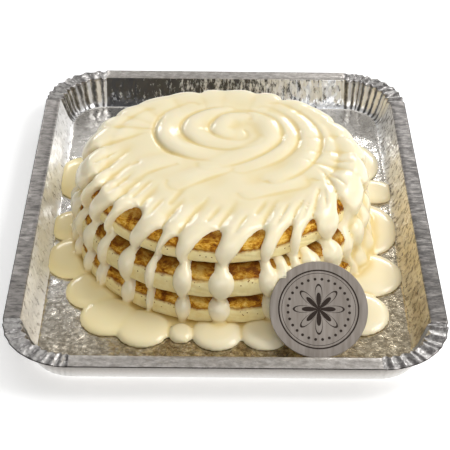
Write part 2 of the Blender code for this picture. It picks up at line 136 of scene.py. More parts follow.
# Crest lines of the poured swirl on top: x, y and height over the cap
SWIRL_CENTRE = (3, 20)
SWIRL_RIDGES = [
    [(8, 33, 0.8), (2, 32, 1.0), (-2.5, 26, 1.3), (-3.5, 20, 1.1), (0, 15.5, 0.8), (6, 14, 0.4)],
    [(0, 38, 0.3), (-10, 35.5, 1.0), (-17.5, 29, 1.4), (-20, 20, 1.5), (-17, 13, 1.5), (-11, 8, 1.1),
     (-2, 5.5, 0.7), (8, 6, 0.4), (15, 9, 0.3)],
    [(-20, 42, 0.3), (-30, 34, 0.8), (-34.5, 22, 1.5), (-34, 12, 1.9), (-30, 4, 2.0), (-24, -1, 1.5),
     (-15, -5, 0.6), (-4, -8, 0.2)],
    [(6, 34.5, 0.5), (14, 33.5, 0.8), (21, 29, 1.1), (25, 20, 1.4), (25, 11, 1.5), (20, 3, 1.4),
     (12.5, -4, 1.2), (3, -10, 0.7), (-10, -16, 0.3)],
    [(22, 38, 0.3), (30, 29, 0.9), (34.5, 17, 1.2), (33.5, 6, 1.2), (28, -4, 1.0), (20, -11, 0.6),
     (8, -18, 0.2)],
    [(29, 42, 0.4), (40, 30, 1.1), (46, 17, 1.5), (47, 4, 1.5), (43, -9, 1.3), (36, -19, 1.0),
     (26, -28, 0.6)],
    [(42, 38, 0.3), (51, 26, 0.9), (56, 12, 1.1), (57, -2, 1.0), (54, -14, 0.8), (50, -24, 0.5)],
    [(54, 33, 0.3), (61, 19, 0.9), (64.5, 4, 1.0), (65, -8, 0.8), (63, -18, 0.5)],
    [(-43, 34, 0.3), (-51, 25, 0.7), (-60, 14, 0.8), (-67, 5, 0.6)],
    [(-52, -25, 0.3), (-42, -17, 0.8), (-31, -11, 0.4)],
    [(-26, -34, 0.3), (-14, -25, 0.8), (-2, -18, 0.3)],
    [(12, -42, 0.3), (27, -36, 0.6), (38, -32, 0.3)],
]
RIDGE_OUTER_WIDTH = 6.0
RIDGE_INNER_WIDTH = 9.5
RIDGE_CREASE_WIDTH = 4.0
RIDGE_CREASE = 0.5
# Streams run out to the rim between the openings, leaning the way the pour fell
POUR_DIRECTION = (-0.45, -0.89)
STREAM_LENGTHS = (24, 40)
# Rounds in which a stream's end at the rim is found, and the share of the way that each one goes
FLOW_ROUNDS = 14
FLOW_STEP = 0.7
# Share of the straight way outward in a stream's direction, by azimuth
STREAM_OUTWARD = [(-180, 1.0), (-135, 1.0), (-100, 0.6), (-70, 0.2), (-10, 0.08), (30, 0.15),
                  (55, 0.5), (80, 0.9), (180, 1.0)]
# How far the head of an opening leans towards +X from its foot, in degrees, by azimuth
OPENING_LEANS = [(-180, 0), (-110, 0), (-80, 4.5), (-30, 4.5), (15, 3), (45, 0), (70, -2), (100, 0),
                 (180, 0)]
# Share of a groove's depth that is left on the top, by azimuth
GROOVE_SHARES = [(-180, 0.12), (-120, 0.15), (-85, 0.75), (55, 0.75), (85, 0.35), (115, 0.15),
                 (180, 0.12)]
# Short creases between the streams: azimuth at the rim, start and end of the way left to it, depth
CREASES = [
    (-83, 4, 26, 0.9), (-61, 3, 30, 1.0), (-50, 12, 34, 1.1), (-38, 5, 26, 1.0), (-34, 20, 40, 0.7),
    (-14, 12, 32, 0.8), (0, 4, 24, 1.1), (4, 20, 38, 0.7), (17, 8, 30, 1.1), (30, 6, 28, 1.1),
    (46, 4, 24, 1.1), (52, 12, 30, 0.8), (66, 4, 22, 1.0), (84, 4, 20, 0.8),
]
CREASE_HALF_WIDTH = 1.5
# Runs over which a crease sets in at its near and its far end, and start and run of its girth
CREASE_ENDS = (4, 10)
CREASE_GIRTHS = (14, 5)
# Openings between the drips on the top pancake: azimuth, girth of the arch's top, half width
FRONT_OPENINGS = [
    (-94.5, 18, 3.5), (-75.4, 17, 3.6), (-67.4, 16.5, 3.2), (-55.3, 15.5, 3.4), (-44.9, 22.5, 6.4),
    (-30, 15.8, 3.6), (-22, 14.2, 3.2), (-8.5, 20.6, 5.8), (9.8, 19.2, 5.4), (24, 17.6, 3.8),
    (36.5, 15.8, 5.8), (57.5, 16.3, 4.6), (78, 9.5, 3.5),
]
BACK_OPENING_STEP = 14
BACK_OPENING_TOPS = (11, 18)
BACK_OPENING_HALF_WIDTHS = (3.0, 5.0)
# Share of an opening's girth up to which it keeps its full width
ARCH_START = 0.4
# Starts and runs of girth over which the openings lean, the drips turn into the cap and the
# swirl sets in, and the run past an opening's arch over which its groove grows shallow
LEAN_GIRTHS = (3, 17)
CAP_GIRTHS = (22, 14)
SWIRL_GIRTHS = (20, 6)
GROOVE_RUN = 5
DRIP_RELIEF = 2.9
DRIP_HALF_WIDTHS = (3.0, 7.2)
# A drip's half width as a share of the free way between two openings, how much its crest is
# flattened on the side, and how much of that it loses on the top
DRIP_FILL = 0.55
DRIP_BEND = 0.6
TOP_BEND_LOSS = 0.35
# How far a lower drip strays in degrees from the one above it, and in height from its own shape
TIER_SHIFT = 1.2
TIER_RISE = 0.8
# Thickness that stands for bare pancake, and the step of the drips' table in degrees
NO_SAUCE = -3.0
AZIMUTH_STEP = 0.25
# Half width and relief of a drip on the top pancake at each girth, as shares
TOP_DRIP_SHAPE = [(-1, 0.34, 0.5), (0.5, 0.36, 0.55), (2, 0.5, 0.7), (4, 0.7, 0.85), (6.5, 0.88, 1.0),
                  (9, 1.0, 1.0), (16, 1.0, 1.05), (22, 1.0, 1.12)]
# The same for the drips on the lower pancakes, at each height over the underside
MIDDLE_DRIP_SHAPE = [(-1, 0.52, 0.6), (0.8, 0.54, 0.65), (2.5, 0.7, 0.85), (4.5, 0.9, 1.0),
                     (6.5, 1.0, 1.1), (10, 1.05, 1.15), (12.5, 1.0, 1.1), (14, 0.85, 0.95),
                     (15.2, 0.6, 0.7)]
BOTTOM_DRIP_SHAPE = [(-1, 0.6, 0.7), (0.5, 0.52, 0.7), (2, 0.55, 0.8), (4, 0.74, 0.95),
                     (6.5, 0.92, 1.05), (9, 1.0, 1.1), (11.5, 0.96, 1.0), (13.2, 0.8, 0.85),
                     (14.6, 0.5, 0.6)]
# Thin runs on the left and broad ones on the right of the lower pancakes: azimuth, half width
LEFT_RUNS = [(-118, 2.8), (-106, 2.4), (-99, 3.2), (-90, 2.4), (-80, 3.0), (-71, 2.4), (-62, 2.8),
             (-50, 2.2)]
RIGHT_RUNS = [(24, 5.5), (36, 6.0), (48, 5.0)]
NECK_RADIUS = 1.7
NECK_END_RADIUS = 1.2 * NECK_RADIUS
# A neck's points: reach past the pancake's rim and height over the upper pancake's underside,
# at two places on the upper pancake and one on the lower
NECK_POINTS = ((0.2, 3), (-0.6, 0.3), (-2.0, -3.2))
# Sheet over the grooves on the right: the azimuths between which it lies, how far it draws back
# outside them, its top over its last level, its fade at both ends, the level on each pancake at
# which it follows the outline, its thickness, its dip over the grooves, the height of its folds
# and its flare at the foot
CURTAIN_SPAN = (50, 132)
CURTAIN_RETREAT = 14
CURTAIN_RISE = 1.5
CURTAIN_FADE = 8
CURTAIN_LEVEL = 7.5
CURTAIN_THICKNESS = 1.5
CURTAIN_DIP = 1.5
CURTAIN_FOLD = 0.9
CURTAIN_FLARE = 8
# Pool: a ring round the stack, joined by lobes
POOL_CENTRE = (-2, -8)
POOL_RING_RADIUS = 80
POOL_RING_WIDTH = 8
POOL_RING_HEIGHT = 1.4
POOL_HEIGHT = 3.7
# Reach of the foot of the stack, height of the pool there, and its rise outward from there
POOL_FOOT = (82, 2.4, 0.9)
# Lobes of the pool: centre x and y, half width along x and along y
POOL_LOBES = [
    (-86, 44, 15.5, 22), (-86.5, -5, 14, 14.5), (-84.5, -35, 15, 18), (-71, -63, 15, 15.5),
    (-61, -84.5, 15.5, 15.5), (-43, -93.5, 14.5, 15), (-23, -97.5, 6.5, 7.5), (-4.5, -97, 13.5, 13.5),
    (20.5, -97, 13, 13), (46, -90, 15, 14), (69, -80, 18, 18), (77, -47, 20, 19), (78, -5, 20.5, 25),
    (88, 32, 13, 11.5), (75, 62, 18.5, 23),
]
BACK_LOBE_AZIMUTHS = (150, 215)
BACK_LOBE_STEP = 13
BACK_LOBE_REACH = (95, 99)
BACK_LOBE_RADIUS = (14, 18)

# Round card, in mm: rings as reach and half width of the line
CARD_DIAMETER = 50.5
CARD_THICKNESS = 1.2
CARD_BEVEL = 0.2
CARD_SEGMENTS = 128
CARD_FOOT = (47.6, -116)
CARD_LEAN_DEGREES = 52
CARD_RINGS = [(20.4, 0.4), (18.9, 0.14)]
CARD_DOTS = 28
CARD_DOT_REACH = 15.8
CARD_DOT_RADIUS = 0.75
CARD_PETAL_LENGTH = 12.8
CARD_PETAL_LINE = 0.55
INNER_PETAL_SHARE = 0.68

# Colours: a list gives the places and colours of a ramp's stops
# The sauce's ramp by how far a point stands over its surroundings: painted shade, darker and yellower in the
# dips and lighter on the crests
SAUCE_DIP_SHADE_COLOURS = [(0.10, (0.79, 0.62, 0.28)), (0.36, (0.86, 0.715, 0.39)), (0.52, (0.91, 0.80, 0.53)),
                 (0.8, (0.94, 0.84, 0.60))]
# Painted warm shade on the pool at the left
POOL_SHADE_TINT = (0.97, 0.81, 0.42)
# Painted shadow round the stack's foot
FOOT_SHADOW_TINT = (0.58, 0.49, 0.31)
BROWN_COLOURS = [(0.40, (0.90, 0.60, 0.15)), (0.47, (0.72, 0.38, 0.035)), (0.53, (0.44, 0.16, 0.006)),
                 (0.60, (0.15, 0.04, 0.002))]
BROWN_LINE_COLOUR = (0.22, 0.065, 0.003)
# Painted shade on the crust near the top of the side, under the pancake above
TOP_SHADE_BROWN = (0.12, 0.036, 0.002)
PALE_COLOURS = [(0.3, (0.88, 0.72, 0.33)), (0.7, (0.95, 0.83, 0.46))]
UNDERSIDE_BROWN = (0.40, 0.19, 0.04)
# Painted shade in the pores
PORE_SHADE_COLOUR = (0.34, 0.17, 0.05)
# The board's ramp by height: painted shade, from white at the table to dark under the flange
BOARD_SHADE_COLOURS = [(0.05, (0.95, 0.94, 0.93)), (0.3, (0.62, 0.59, 0.56)), (0.55, (0.24, 0.22, 0.20))]
CARD_COLOURS = [(0.3, (0.29, 0.25, 0.215)), (0.7, (0.42, 0.37, 0.33))]
PRINT_COLOUR = (0.035, 0.022, 0.016)
TABLE_COLOURS = [(0.3, (0.97, 0.97, 0.97)), (0.7, (0.98, 0.98, 0.98))]
TABLE_GLOW = 0.36
# The foil on each part of the tray, in the terms of foil_material
# Each part's colours are painted reflection, darker or lighter by what that part of the foil mirrors
FOILS = {
    "floor": dict(
        stops=[(0.30, (0.30, 0.265, 0.215)), (0.56, (0.76, 0.73, 0.68))],
        crumple=0.13, roughness=0.24, metallic=0.95, reflection_drift=(-0.3, 1.0), sauce_reflection=(1.0, 0.91, 0.72)),
    "side_wall": dict(
        stops=[(0.36, (0.36, 0.34, 0.33)), (0.48, WHITE)], stretch=(1, 0.8, 0.5),
        crumple=0.35, roughness=0.26, metallic=0.3, reflection_drift=(-0.3, 0.0), sauce_reflection=(0.70, 0.60, 0.42)),
    "end_wall": dict(
        stops=[(0.46, (0.085, 0.085, 0.09)), (0.60, (0.84, 0.86, 0.90))], stretch=(1, 1, 0.22),
        crumple=0.35, roughness=0.24, metallic=0.5, reflection_drift=(1.9, 0.0)),
    "corner": dict(
        stops=[(0.24, (0.10, 0.098, 0.096)), (0.48, (0.40, 0.39, 0.385)), (0.66, (0.92, 0.92, 0.93))],
        stretch=(1, 1, 0.4), crumple=0.12, roughness=0.2, metallic=0.55, pleat_shading=0.26),
    "corner_flange": dict(
        stops=[(0.34, (0.14, 0.13, 0.125)), (0.66, (0.52, 0.50, 0.48))],
        crumple=0.25, roughness=0.3, metallic=0.8, pleat_shading=0.14),
    "side_flange": dict(
        stops=[(0.38, (0.12, 0.112, 0.105)), (0.62, (0.34, 0.315, 0.295))], stretch=(0.35, 1, 1),
        crumple=0.10, roughness=0.36, metallic=0.8, reflection_drift=(-0.45, 0.0)),
    "end_flange": dict(
        stops=[(0.40, (0.36, 0.33, 0.30)), (0.66, (0.62, 0.585, 0.55))], stretch=(0.6, 1, 1),
        crumple=0.10, roughness=0.36, metallic=0.8, reflection_drift=(0.0, -0.1)),
    # The flange's outer rim, painted near black as painted shade
    "edge": dict(
        stops=[(0.4, (0.04, 0.036, 0.032)), (0.6, (0.09, 0.08, 0.075))],
        crumple=0.10, roughness=0.45, metallic=1.0),
}

# Studio: grey of the surroundings by height, in front and behind, and the lights, each with
# its place, the height that it aims at, its size, power and colour
TABLE_HALF = 4.0
TABLE_DROP = 0.2 * MM
FRONT_GREYS = [(0.0, 0.10), (0.35, 0.15), (0.62, 0.30), (1.0, 0.7)]
BACK_GREYS = [(0.0, 0.3), (0.48, 0.9), (0.60, 0.85), (0.72, 0.50), (0.86, 0.34), (1.0, 0.7)]
SURROUNDINGS_STRENGTH = 0.75
SPARKLE_SIZE = (0.4, 0.08)
LIGHTS = {
    "key": ((0.85, 0.05, 0.9), 0.02, (0.6, 0.6), 7.7, WHITE),
    "top": ((-0.1, 0.35, 1.3), 0.02, (1.2, 0.9), 1.2, WHITE),
    "fill": ((0.2, -1.15, 0.6), 0.02, (1.2, 0.6), 5.0, (1.0, 0.985, 0.95)),
    "sparkle_0": ((0.4, 1.15, 0.52), 0.05, SPARKLE_SIZE, 1.9, WHITE),
    "sparkle_1": ((-0.45, 1.1, 0.5), 0.05, SPARKLE_SIZE, 1.3, WHITE),
    "sparkle_2": ((0.9, 0.5, 0.8), 0.05, SPARKLE_SIZE, 0.8, WHITE),
    "sparkle_3": ((0.95, -0.3, 0.67), 0.05, SPARKLE_SIZE, 1.2, WHITE),
}

RANDOM = random.Random(7)


def on_circle(centre, azimuth, radius):
    angle = math.radians(azimuth)
    return centre[0] + radius * math.sin(angle), centre[1] - radius * math.cos(angle)


def link(item):
    bpy.context.scene.collection.objects.link(item)
    return item


def mesh_object(name, points, faces, material):
    mesh = bpy.data.meshes.new(name)
    mesh.from_pydata([tuple(point) for point in points], [], [tuple(face) for face in faces])
    mesh.update()
    mesh.shade_smooth()
    mesh.materials.append(material)
    return link(bpy.data.objects.new(name, mesh))


def ring_faces(rows, count):
    """Quads between closed rings of points, with a cap on the first ring and on the last."""
    faces = []
    for row in range(rows - 1):
        for index in range(count):
            following = (index + 1) % count
            low = row * count
            high = low + count
            faces.append((low + index, low + following, high + following, high + index))
    faces.append(tuple(reversed(range(count))))
    faces.append(tuple(range((rows - 1) * count, rows * count)))
    return faces


# Shader nodes


def reckoned(operation):
    """A method that makes a math node of a signal, and of another value where there is one."""
    return lambda signal, *other: signal.look.math(operation, signal, *other)


class Signal:
    """A shader node's output, which is reckoned with like a number."""

    __add__ = reckoned("ADD")
    __sub__ = reckoned("SUBTRACT")
    __mul__ = reckoned("MULTIPLY")
    __truediv__ = reckoned("DIVIDE")
    __abs__ = reckoned("ABSOLUTE")
    __lt__ = reckoned("LESS_THAN")
    __gt__ = reckoned("GREATER_THAN")

    def __init__(self, look, socket):
        self.look = look
        self.socket = socket

    def __rsub__(self, other):
        return self.look.math("SUBTRACT", other, self)

    def clamped(self):
        """The same output, kept from 0 to 1."""
        self.socket.node.use_clamp = True
        return self


class Look:
    """The shader nodes of a material or the world, with the coordinates that they start from."""

    def __init__(self, owner, coordinates="Object"):
        owner.use_nodes = True
        self.owner = owner
        self.nodes = owner.node_tree.nodes
        self.links = owner.node_tree.links
        self.where = self.signal(self.node("TexCoord", {}), coordinates)
        split = self.node("SeparateXYZ", {0: self.where})
        self.x, self.y, self.z = (self.signal(split, axis) for axis in "XYZ")

    def signal(self, node, output=0):
        return Signal(self, node.outputs[output])

    def feed(self, node, inputs):
        """Links or sets inputs, each given by its name or number."""
        for key, value in inputs.items():
            socket = node.inputs[key]
            if isinstance(value, Signal):
                self.links.new(value.socket, socket)
            elif socket.type == "RGBA":
                socket.default_value = (*value, 1.0)
            else:
                socket.default_value = value

    def node(self, kind, inputs, **settings):
        node = self.nodes.new("ShaderNode" + kind)
        for name, value in settings.items():
            setattr(node, name, value)
        self.feed(node, inputs)
        return node

    def finish(self, inputs):
        """Feeds the surface's shader, and gives back the material."""
        self.feed(self.nodes["Principled BSDF"], inputs)
        return self.owner

    def math(self, operation, *values):
        return self.signal(self.node("Math", dict(enumerate(values)), operation=operation))

    def vector(self, operation, *values, output="Vector"):
        return self.signal(self.node("VectorMath", dict(enumerate(values)), operation=operation), output)

    def stretched(self, scale):
        """Coordinates scaled along each axis: a share below 1 draws a pattern out along it."""
        return self.vector("MULTIPLY", self.where, scale)

    def attribute(self, name):
        return self.signal(self.node("Attribute", {}, attribute_name=name), "Fac")

    def noise(self, where, scale, detail=3.0, roughness=0.5, distortion=0.0, output="Fac"):
        inputs = {"Vector": where, "Scale": scale, "Detail": detail, "Roughness": roughness,
                  "Distortion": distortion}
        return self.signal(self.node("TexNoise", inputs), output)

    def facets(self, where, scale):
        """Height of a sheet crumpled into flat facets, each with its own tilt."""
        cells = self.node("TexVoronoi", {"Vector": where, "Scale": scale})
        offset = self.vector("SUBTRACT", where, self.signal(cells, "Position"))
        tilt = self.vector("SUBTRACT", self.signal(cells, "Color"), (0.5, 0.5, 0.5))
        return self.vector("DOT_PRODUCT", offset, tilt, output="Value")

    def ramp(self, factor, stops):
        node = self.node("ValToRGB", {"Fac": factor})
        elements = node.color_ramp.elements
        while len(elements) < len(stops):
            elements.new(0.5)
        for element, (place, colour) in zip(elements, stops):
            element.position = place
            element.color = (*colour, 1.0)
        return self.signal(node, "Color")

    def mix(self, factor, first, second, blend="MIX"):
        inputs = {0: factor, 6: first, 7: second}
        return self.signal(self.node("Mix", inputs, data_type="RGBA", blend_type=blend), 2)

    def bump(self, height, strength, distance, **under):
        inputs = {"Height": height, "Strength": strength, "Distance": distance}
        return self.signal(self.node("Bump", {**inputs, **under}), "Normal")


def new_look(name):
    return Look(bpy.data.materials.new(name))


# Materials


def sauce_material():
    """Semi-gloss sauce, yellower in its dips and in the pool on the left as painted shade, and darker at the
    stack's foot as a painted shadow.
    """
    pool_top = 7 * MM
    pool_fade = 3 * MM
    foot_shadow_width = 3.5
    cloud_share = 0.12
    look = new_look("white_chocolate_sauce")
    cloud = look.noise(look.where, 35, 2) * cloud_share
    # Painted shade: the ramp darkens and yellows the dips and lightens the crests
    colour = look.ramp(cloud + (look.attribute(STANDING) - cloud_share / 2), SAUCE_DIP_SHADE_COLOURS)
    # Painted warm shade: the low pool at the left is tinted yellower, as in the stack's shade
    low = ((pool_top - look.z) / pool_fade).clamped()
    shaded_left = (look.x * -9.0 + 0.15).clamped()
    colour = look.mix(low * shaded_left, colour, POOL_SHADE_TINT)
    # Painted shadow: the low sauce is darkened round the stack's foot
    stack_x, stack_y, stack_radius = PANCAKES["pancake_bottom"]
    stack_axis = (stack_x * MM, stack_y * MM, 0.0)
    reach = look.vector("DISTANCE", look.stretched(FLAT), stack_axis, output="Value")
    foot = (((stack_radius + foot_shadow_width) * MM - reach) / (foot_shadow_width * MM)).clamped()
    colour = look.mix(foot * low, colour, FOOT_SHADOW_TINT, "MULTIPLY")
    return look.finish({
        "Base Color": colour, "Roughness": 0.18, "Subsurface Weight": 0.2,
        "Subsurface Radius": (1.0, 0.7, 0.35), "Subsurface Scale": 1.5 * MM,
        "Normal": look.bump(look.noise(look.where, 140, 2), 0.1, 0.4 * MM)})


def pancake_material(name, pale_top):
    """Browned on top and over the rim, pale and porous round the side, with painted shade at the top of the
    side and in the pores.

    Raised is the height over the ragged line at which the browned crust starts.
    """
    line_swing = 5 * MM
    brown_fade = 1.6 * MM
    dark_line = 1.5 * MM
    dark_line_half_width = 1.3 * MM
    dark_line_share = 0.75
    shade_start = 12.3 * MM
    shade_fade = 2.8 * MM
    shade_share = 0.7
    underside = 0.5 * MM
    underside_swing = 1.6 * MM
    underside_fade = 0.8 * MM
    pore_radius = 0.16
    pore_band = (-2.8 * MM, 0.8 * MM)
    look = new_look(name)
    wander = look.noise(look.where, 90, 4, 0.6)
    raised = look.z + (wander * line_swing - (line_swing / 2 + pale_top * MM))
    patches = look.noise(look.stretched((0.6, 0.6, 1.0)), 210, 6, 0.8, 0.4)
    brown = look.ramp(patches, BROWN_COLOURS)
    line = (1.0 - abs(raised - dark_line) / dark_line_half_width).clamped()
    brown = look.mix(line * dark_line_share, brown, BROWN_LINE_COLOUR)
    # Painted shade: the crust darkens towards the top of the side, as if under the pancake above
    upper = ((look.z - shade_start) / shade_fade).clamped()
    brown = look.mix(upper * shade_share, brown, TOP_SHADE_BROWN)
    pale = look.ramp(look.noise(look.where, 260, 3), PALE_COLOURS)
    colour = look.mix((raised / brown_fade).clamped(), pale, brown)
    under = ((wander * underside_swing + underside - look.z) / underside_fade).clamped()
    colour = look.mix(under, colour, UNDERSIDE_BROWN)
    # Painted shade: the pores are painted dark brown
    cells = look.node("TexVoronoi", {"Vector": look.where, "Scale": 420})
    band = (raised > pore_band[0]) * (raised < pore_band[1])
    pores = (look.signal(cells, "Distance") < pore_radius) * band
    colour = look.mix(pores, colour, PORE_SHADE_COLOUR)
    rough = look.noise(look.where, 420, 4, 0.6) - pores * 1.5
    return look.finish({
        "Base Color": colour, "Roughness": 0.62, "Specular IOR Level": 0.12, "Subsurface Weight": 0.08,
        "Subsurface Radius": (1.0, 0.6, 0.3), "Subsurface Scale": 1.5 * MM,
        "Normal": look.bump(rough, 0.5, 0.5 * MM)})


def foil_material(name, stops, crumple, roughness, metallic, stretch=WHITE, reflection_drift=(0.0, 0.0),
                  pleat_shading=0.0, sauce_reflection=None):
    """Aluminium foil pressed on board, with painted reflection streaked along the stretch, lighter along X
    and Y by the drift.

    A pleat shading share paints one flank of each pleat lighter and the other darker as painted
    light and shade. The sauce reflection colour tints the foil toward the front right as painted reflection.
    """
    warp = (0.005, 0.005, 0.005)
    look = new_look("foil_" + name)
    drawn = look.stretched(stretch)
    bent = look.vector("MULTIPLY_ADD", look.noise(drawn, 160, 2, output="Color"), warp, drawn)
    facets = look.facets(bent, 190) + look.facets(bent, 520)
    pressed = look.bump(facets, crumple, 1.0)
    fine = look.noise(drawn, 900, 3, 0.6)
    # Painted reflection: streaks of light and dark, lighter along X and Y by the drift
    reflection_streaks = look.noise(drawn, 420, 4, 0.7)
    # Painted light and shade on the pleats: one flank lighter, the other darker
    if pleat_shading:
        reflection_streaks = look.attribute(FLANK) * pleat_shading + reflection_streaks
    reflection_streaks = look.x * reflection_drift[0] + reflection_streaks
    reflection_streaks = look.y * reflection_drift[1] + reflection_streaks
    colour = look.ramp(reflection_streaks, stops)
    # Painted reflection of the sauce: a golden tint toward the front right
    if sauce_reflection:
        toward = (look.y * -9.0 + (look.x * 6.0 + 0.1)).clamped()
        colour = look.mix(toward, colour, sauce_reflection, "MULTIPLY")
    return look.finish({
        "Base Color": colour, "Metallic": metallic, "Roughness": roughness,
        "Normal": look.bump(fine, 1.0, crumple * 0.2 * MM, Normal=pressed)})


def board_material():
    """Raw board, greyer under the flange as painted shade."""
    look = new_look("board_underside")
    fibre = look.noise(look.where, 900, 3)
    # Painted shade: the board darkens upward, under the flange
    up = look.z / FLANGE_TOP + fibre * 0.1
    return look.finish({
        "Base Color": look.ramp(up, BOARD_SHADE_COLOURS), "Roughness": 0.8,
        "Normal": look.bump(fibre, 0.15, 0.1 * MM)})


def card_material():
    """Satin silver card, printed with two rings, a circle of dots and a rosette of eight petals."""
    look = new_look("silver_card")
    reach = look.vector("LENGTH", look.stretched(FLAT), output="Value") / MM
    angle = look.math("ARCTAN2", look.y, look.x)
    part_of_dot = look.math("FRACT", angle * (CARD_DOTS / (2 * math.pi)))
    beside = (part_of_dot - 0.5) * (2 * math.pi * CARD_DOT_REACH / CARD_DOTS)
    away = reach - CARD_DOT_REACH
    petals = abs(look.math("COSINE", angle * 4.0)) * CARD_PETAL_LENGTH
    marks = [abs(reach - ring) < half_width for ring, half_width in CARD_RINGS]
    marks.append(beside * beside + away * away < CARD_DOT_RADIUS ** 2)
    marks.append(abs(reach - petals) < CARD_PETAL_LINE)
    printed = reach < petals * INNER_PETAL_SHARE
    for mark in marks:
        printed = look.math("MAXIMUM", printed, mark)
    brushed = look.noise(look.stretched((1.0, 0.12, 1.0)), 500, 3)
    colour = look.mix(printed, look.ramp(brushed, CARD_COLOURS), PRINT_COLOUR)
    return look.finish({
        "Base Color": colour, "Metallic": 0.5, "Roughness": 0.4,
        "Normal": look.bump(look.noise(look.where, 1500, 2), 0.1, 0.05 * MM)})


def table_material():
    look = new_look("pale_table")
    return look.finish({
        "Base Color": look.ramp(look.noise(look.where, 3, 2), TABLE_COLOURS), "Roughness": 0.9,
        "Emission Color": WHITE, "Emission Strength": TABLE_GLOW})


# Pancakes


def rim_profile(position):
    """Distance in from the radius, height and outward normal along a pancake's rim, in mm.

    Position runs from 0, where the flat top ends, to 1, where the flat underside starts.
    """
    upper_in, upper_high = UPPER_ROUND
    lower_in, lower_high = LOWER_ROUND
    shoulder = PANCAKE_THICKNESS - upper_high
    if position <= 0:
        return upper_in - position * TOP_REACH, PANCAKE_THICKNESS, (0.0, 1.0)
    if position < UPPER_END:
        angle = math.pi / 2 * (1 - position / UPPER_END)
        normal = Vector((math.cos(angle) / upper_in, math.sin(angle) / upper_high)).normalized()
        return upper_in * (1 - math.cos(angle)), shoulder + upper_high * math.sin(angle), normal
    if position < LOWER_START:
        share = (position - UPPER_END) / (LOWER_START - UPPER_END)
        return 0.0, shoulder + share * (lower_high - shoulder), (1.0, 0.0)
    angle = math.pi / 2 * min(1.0, (position - LOWER_START) / (1 - LOWER_START))
    normal = (math.cos(angle), -math.sin(angle))
    return lower_in * (1 - math.cos(angle)), lower_high * (1 - math.sin(angle)), normal


def pancake_number(name):
    return list(PANCAKES).index(name)


def pancake_base(name):
    """Height of a pancake's underside, in mm."""
    return FLOOR_TOP / MM + PANCAKE_GAP + pancake_number(name) * (PANCAKE_THICKNESS + PANCAKE_GAP)


def pancake_wobble(name, angle):
    """Swing of a pancake's outline in mm, at an array of angles in radians."""
    phase = 1.7 * pancake_number(name)
    return PANCAKE_WOBBLE * (np.sin(2 * angle + phase) + 0.6 * np.sin(5 * angle + 2 * phase))


def smooth_waves(angle, seed, lowest, highest, count=4):
    """A sum of waves round a circle with seeded phases, from -1 to 1 or so."""
    draw = random.Random(seed)
    total = 0.0
    for _ in range(count):
        turns = draw.randint(lowest, highest)
        total = total + np.sin(turns * angle + draw.uniform(0, 2 * math.pi))
    return total / math.sqrt(count)


def make_pancake(name):
    """A lathed pancake with a slightly wavy rim and a dimpled browned edge."""
    centre_x, centre_y, radius = PANCAKES[name]
    seed = 40 + pancake_number(name)
    positions = list(np.linspace(1.0, 0.0, RIM_ROWS)) + TOP_PLACES
    angles = 2 * math.pi * np.arange(PANCAKE_SEGMENTS) / PANCAKE_SEGMENTS
    rings = []
    for row, position in enumerate(positions):
        inward, height, (normal_out, normal_up) = rim_profile(position)
        dents = LONG_DENT * smooth_waves(angles + 0.02 * row, seed, 20, 60)
        if 0 < position < 0.5:
            dents = dents + SHORT_DENT * smooth_waves(angles + 0.05 * row, seed + 10, 60, 120)
        reach = radius - inward + pancake_wobble(name, angles) + dents * normal_out
        heights = height + dents * (normal_up if position >= 0 else 0)
        rings.append(np.stack([reach * np.sin(angles), -reach * np.cos(angles), heights], axis=1))
    points = (np.concatenate(rings) * MM).tolist()
    faces = ring_faces(len(rings), PANCAKE_SEGMENTS)
    material = pancake_material(name + "_batter", PALE_TOPS[name])
    pancake = mesh_object(name + "_browned", points, faces, material)
    pancake.location = (centre_x * MM, centre_y * MM, pancake_base(name) * MM)
    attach(pancake, "root")
    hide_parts(name)


# Sauce: a field of distances on a grid, in mm, below 0 inside the sauce


def smooth_min(first, second, blend):
    share = np.clip(0.5 + 0.5 * (second - first) / blend, 0, 1)
    return second + (first - second) * share - blend * share * (1 - share)


def smooth_max(first, second, blend):
    return -smooth_min(-first, -second, blend)


def smooth_rise(value, start, run):
    """Goes softly from 0 at the start to 1 after the run."""
    share = np.clip((value - start) / run, 0, 1)
    return share * share * (3 - 2 * share)


def wrapped(azimuth):
    """The same azimuth between -180 and 180."""
    return (azimuth + 180) % 360 - 180


def nearest_on(places, start, end):
    """The share of the way from start to end that is nearest to each place, and the distance to it."""
    along = [last - first for first, last in zip(start, end)]
    offsets = [place - first for first, place in zip(start, places)]
    length = max(sum(step ** 2 for step in along), 1e-9)
    share = np.clip(sum(offset * step for offset, step in zip(offsets, along)) / length, 0, 1)
    gap = np.sqrt(sum((offset - share * step) ** 2 for offset, step in zip(offsets, along)))
    return share, gap


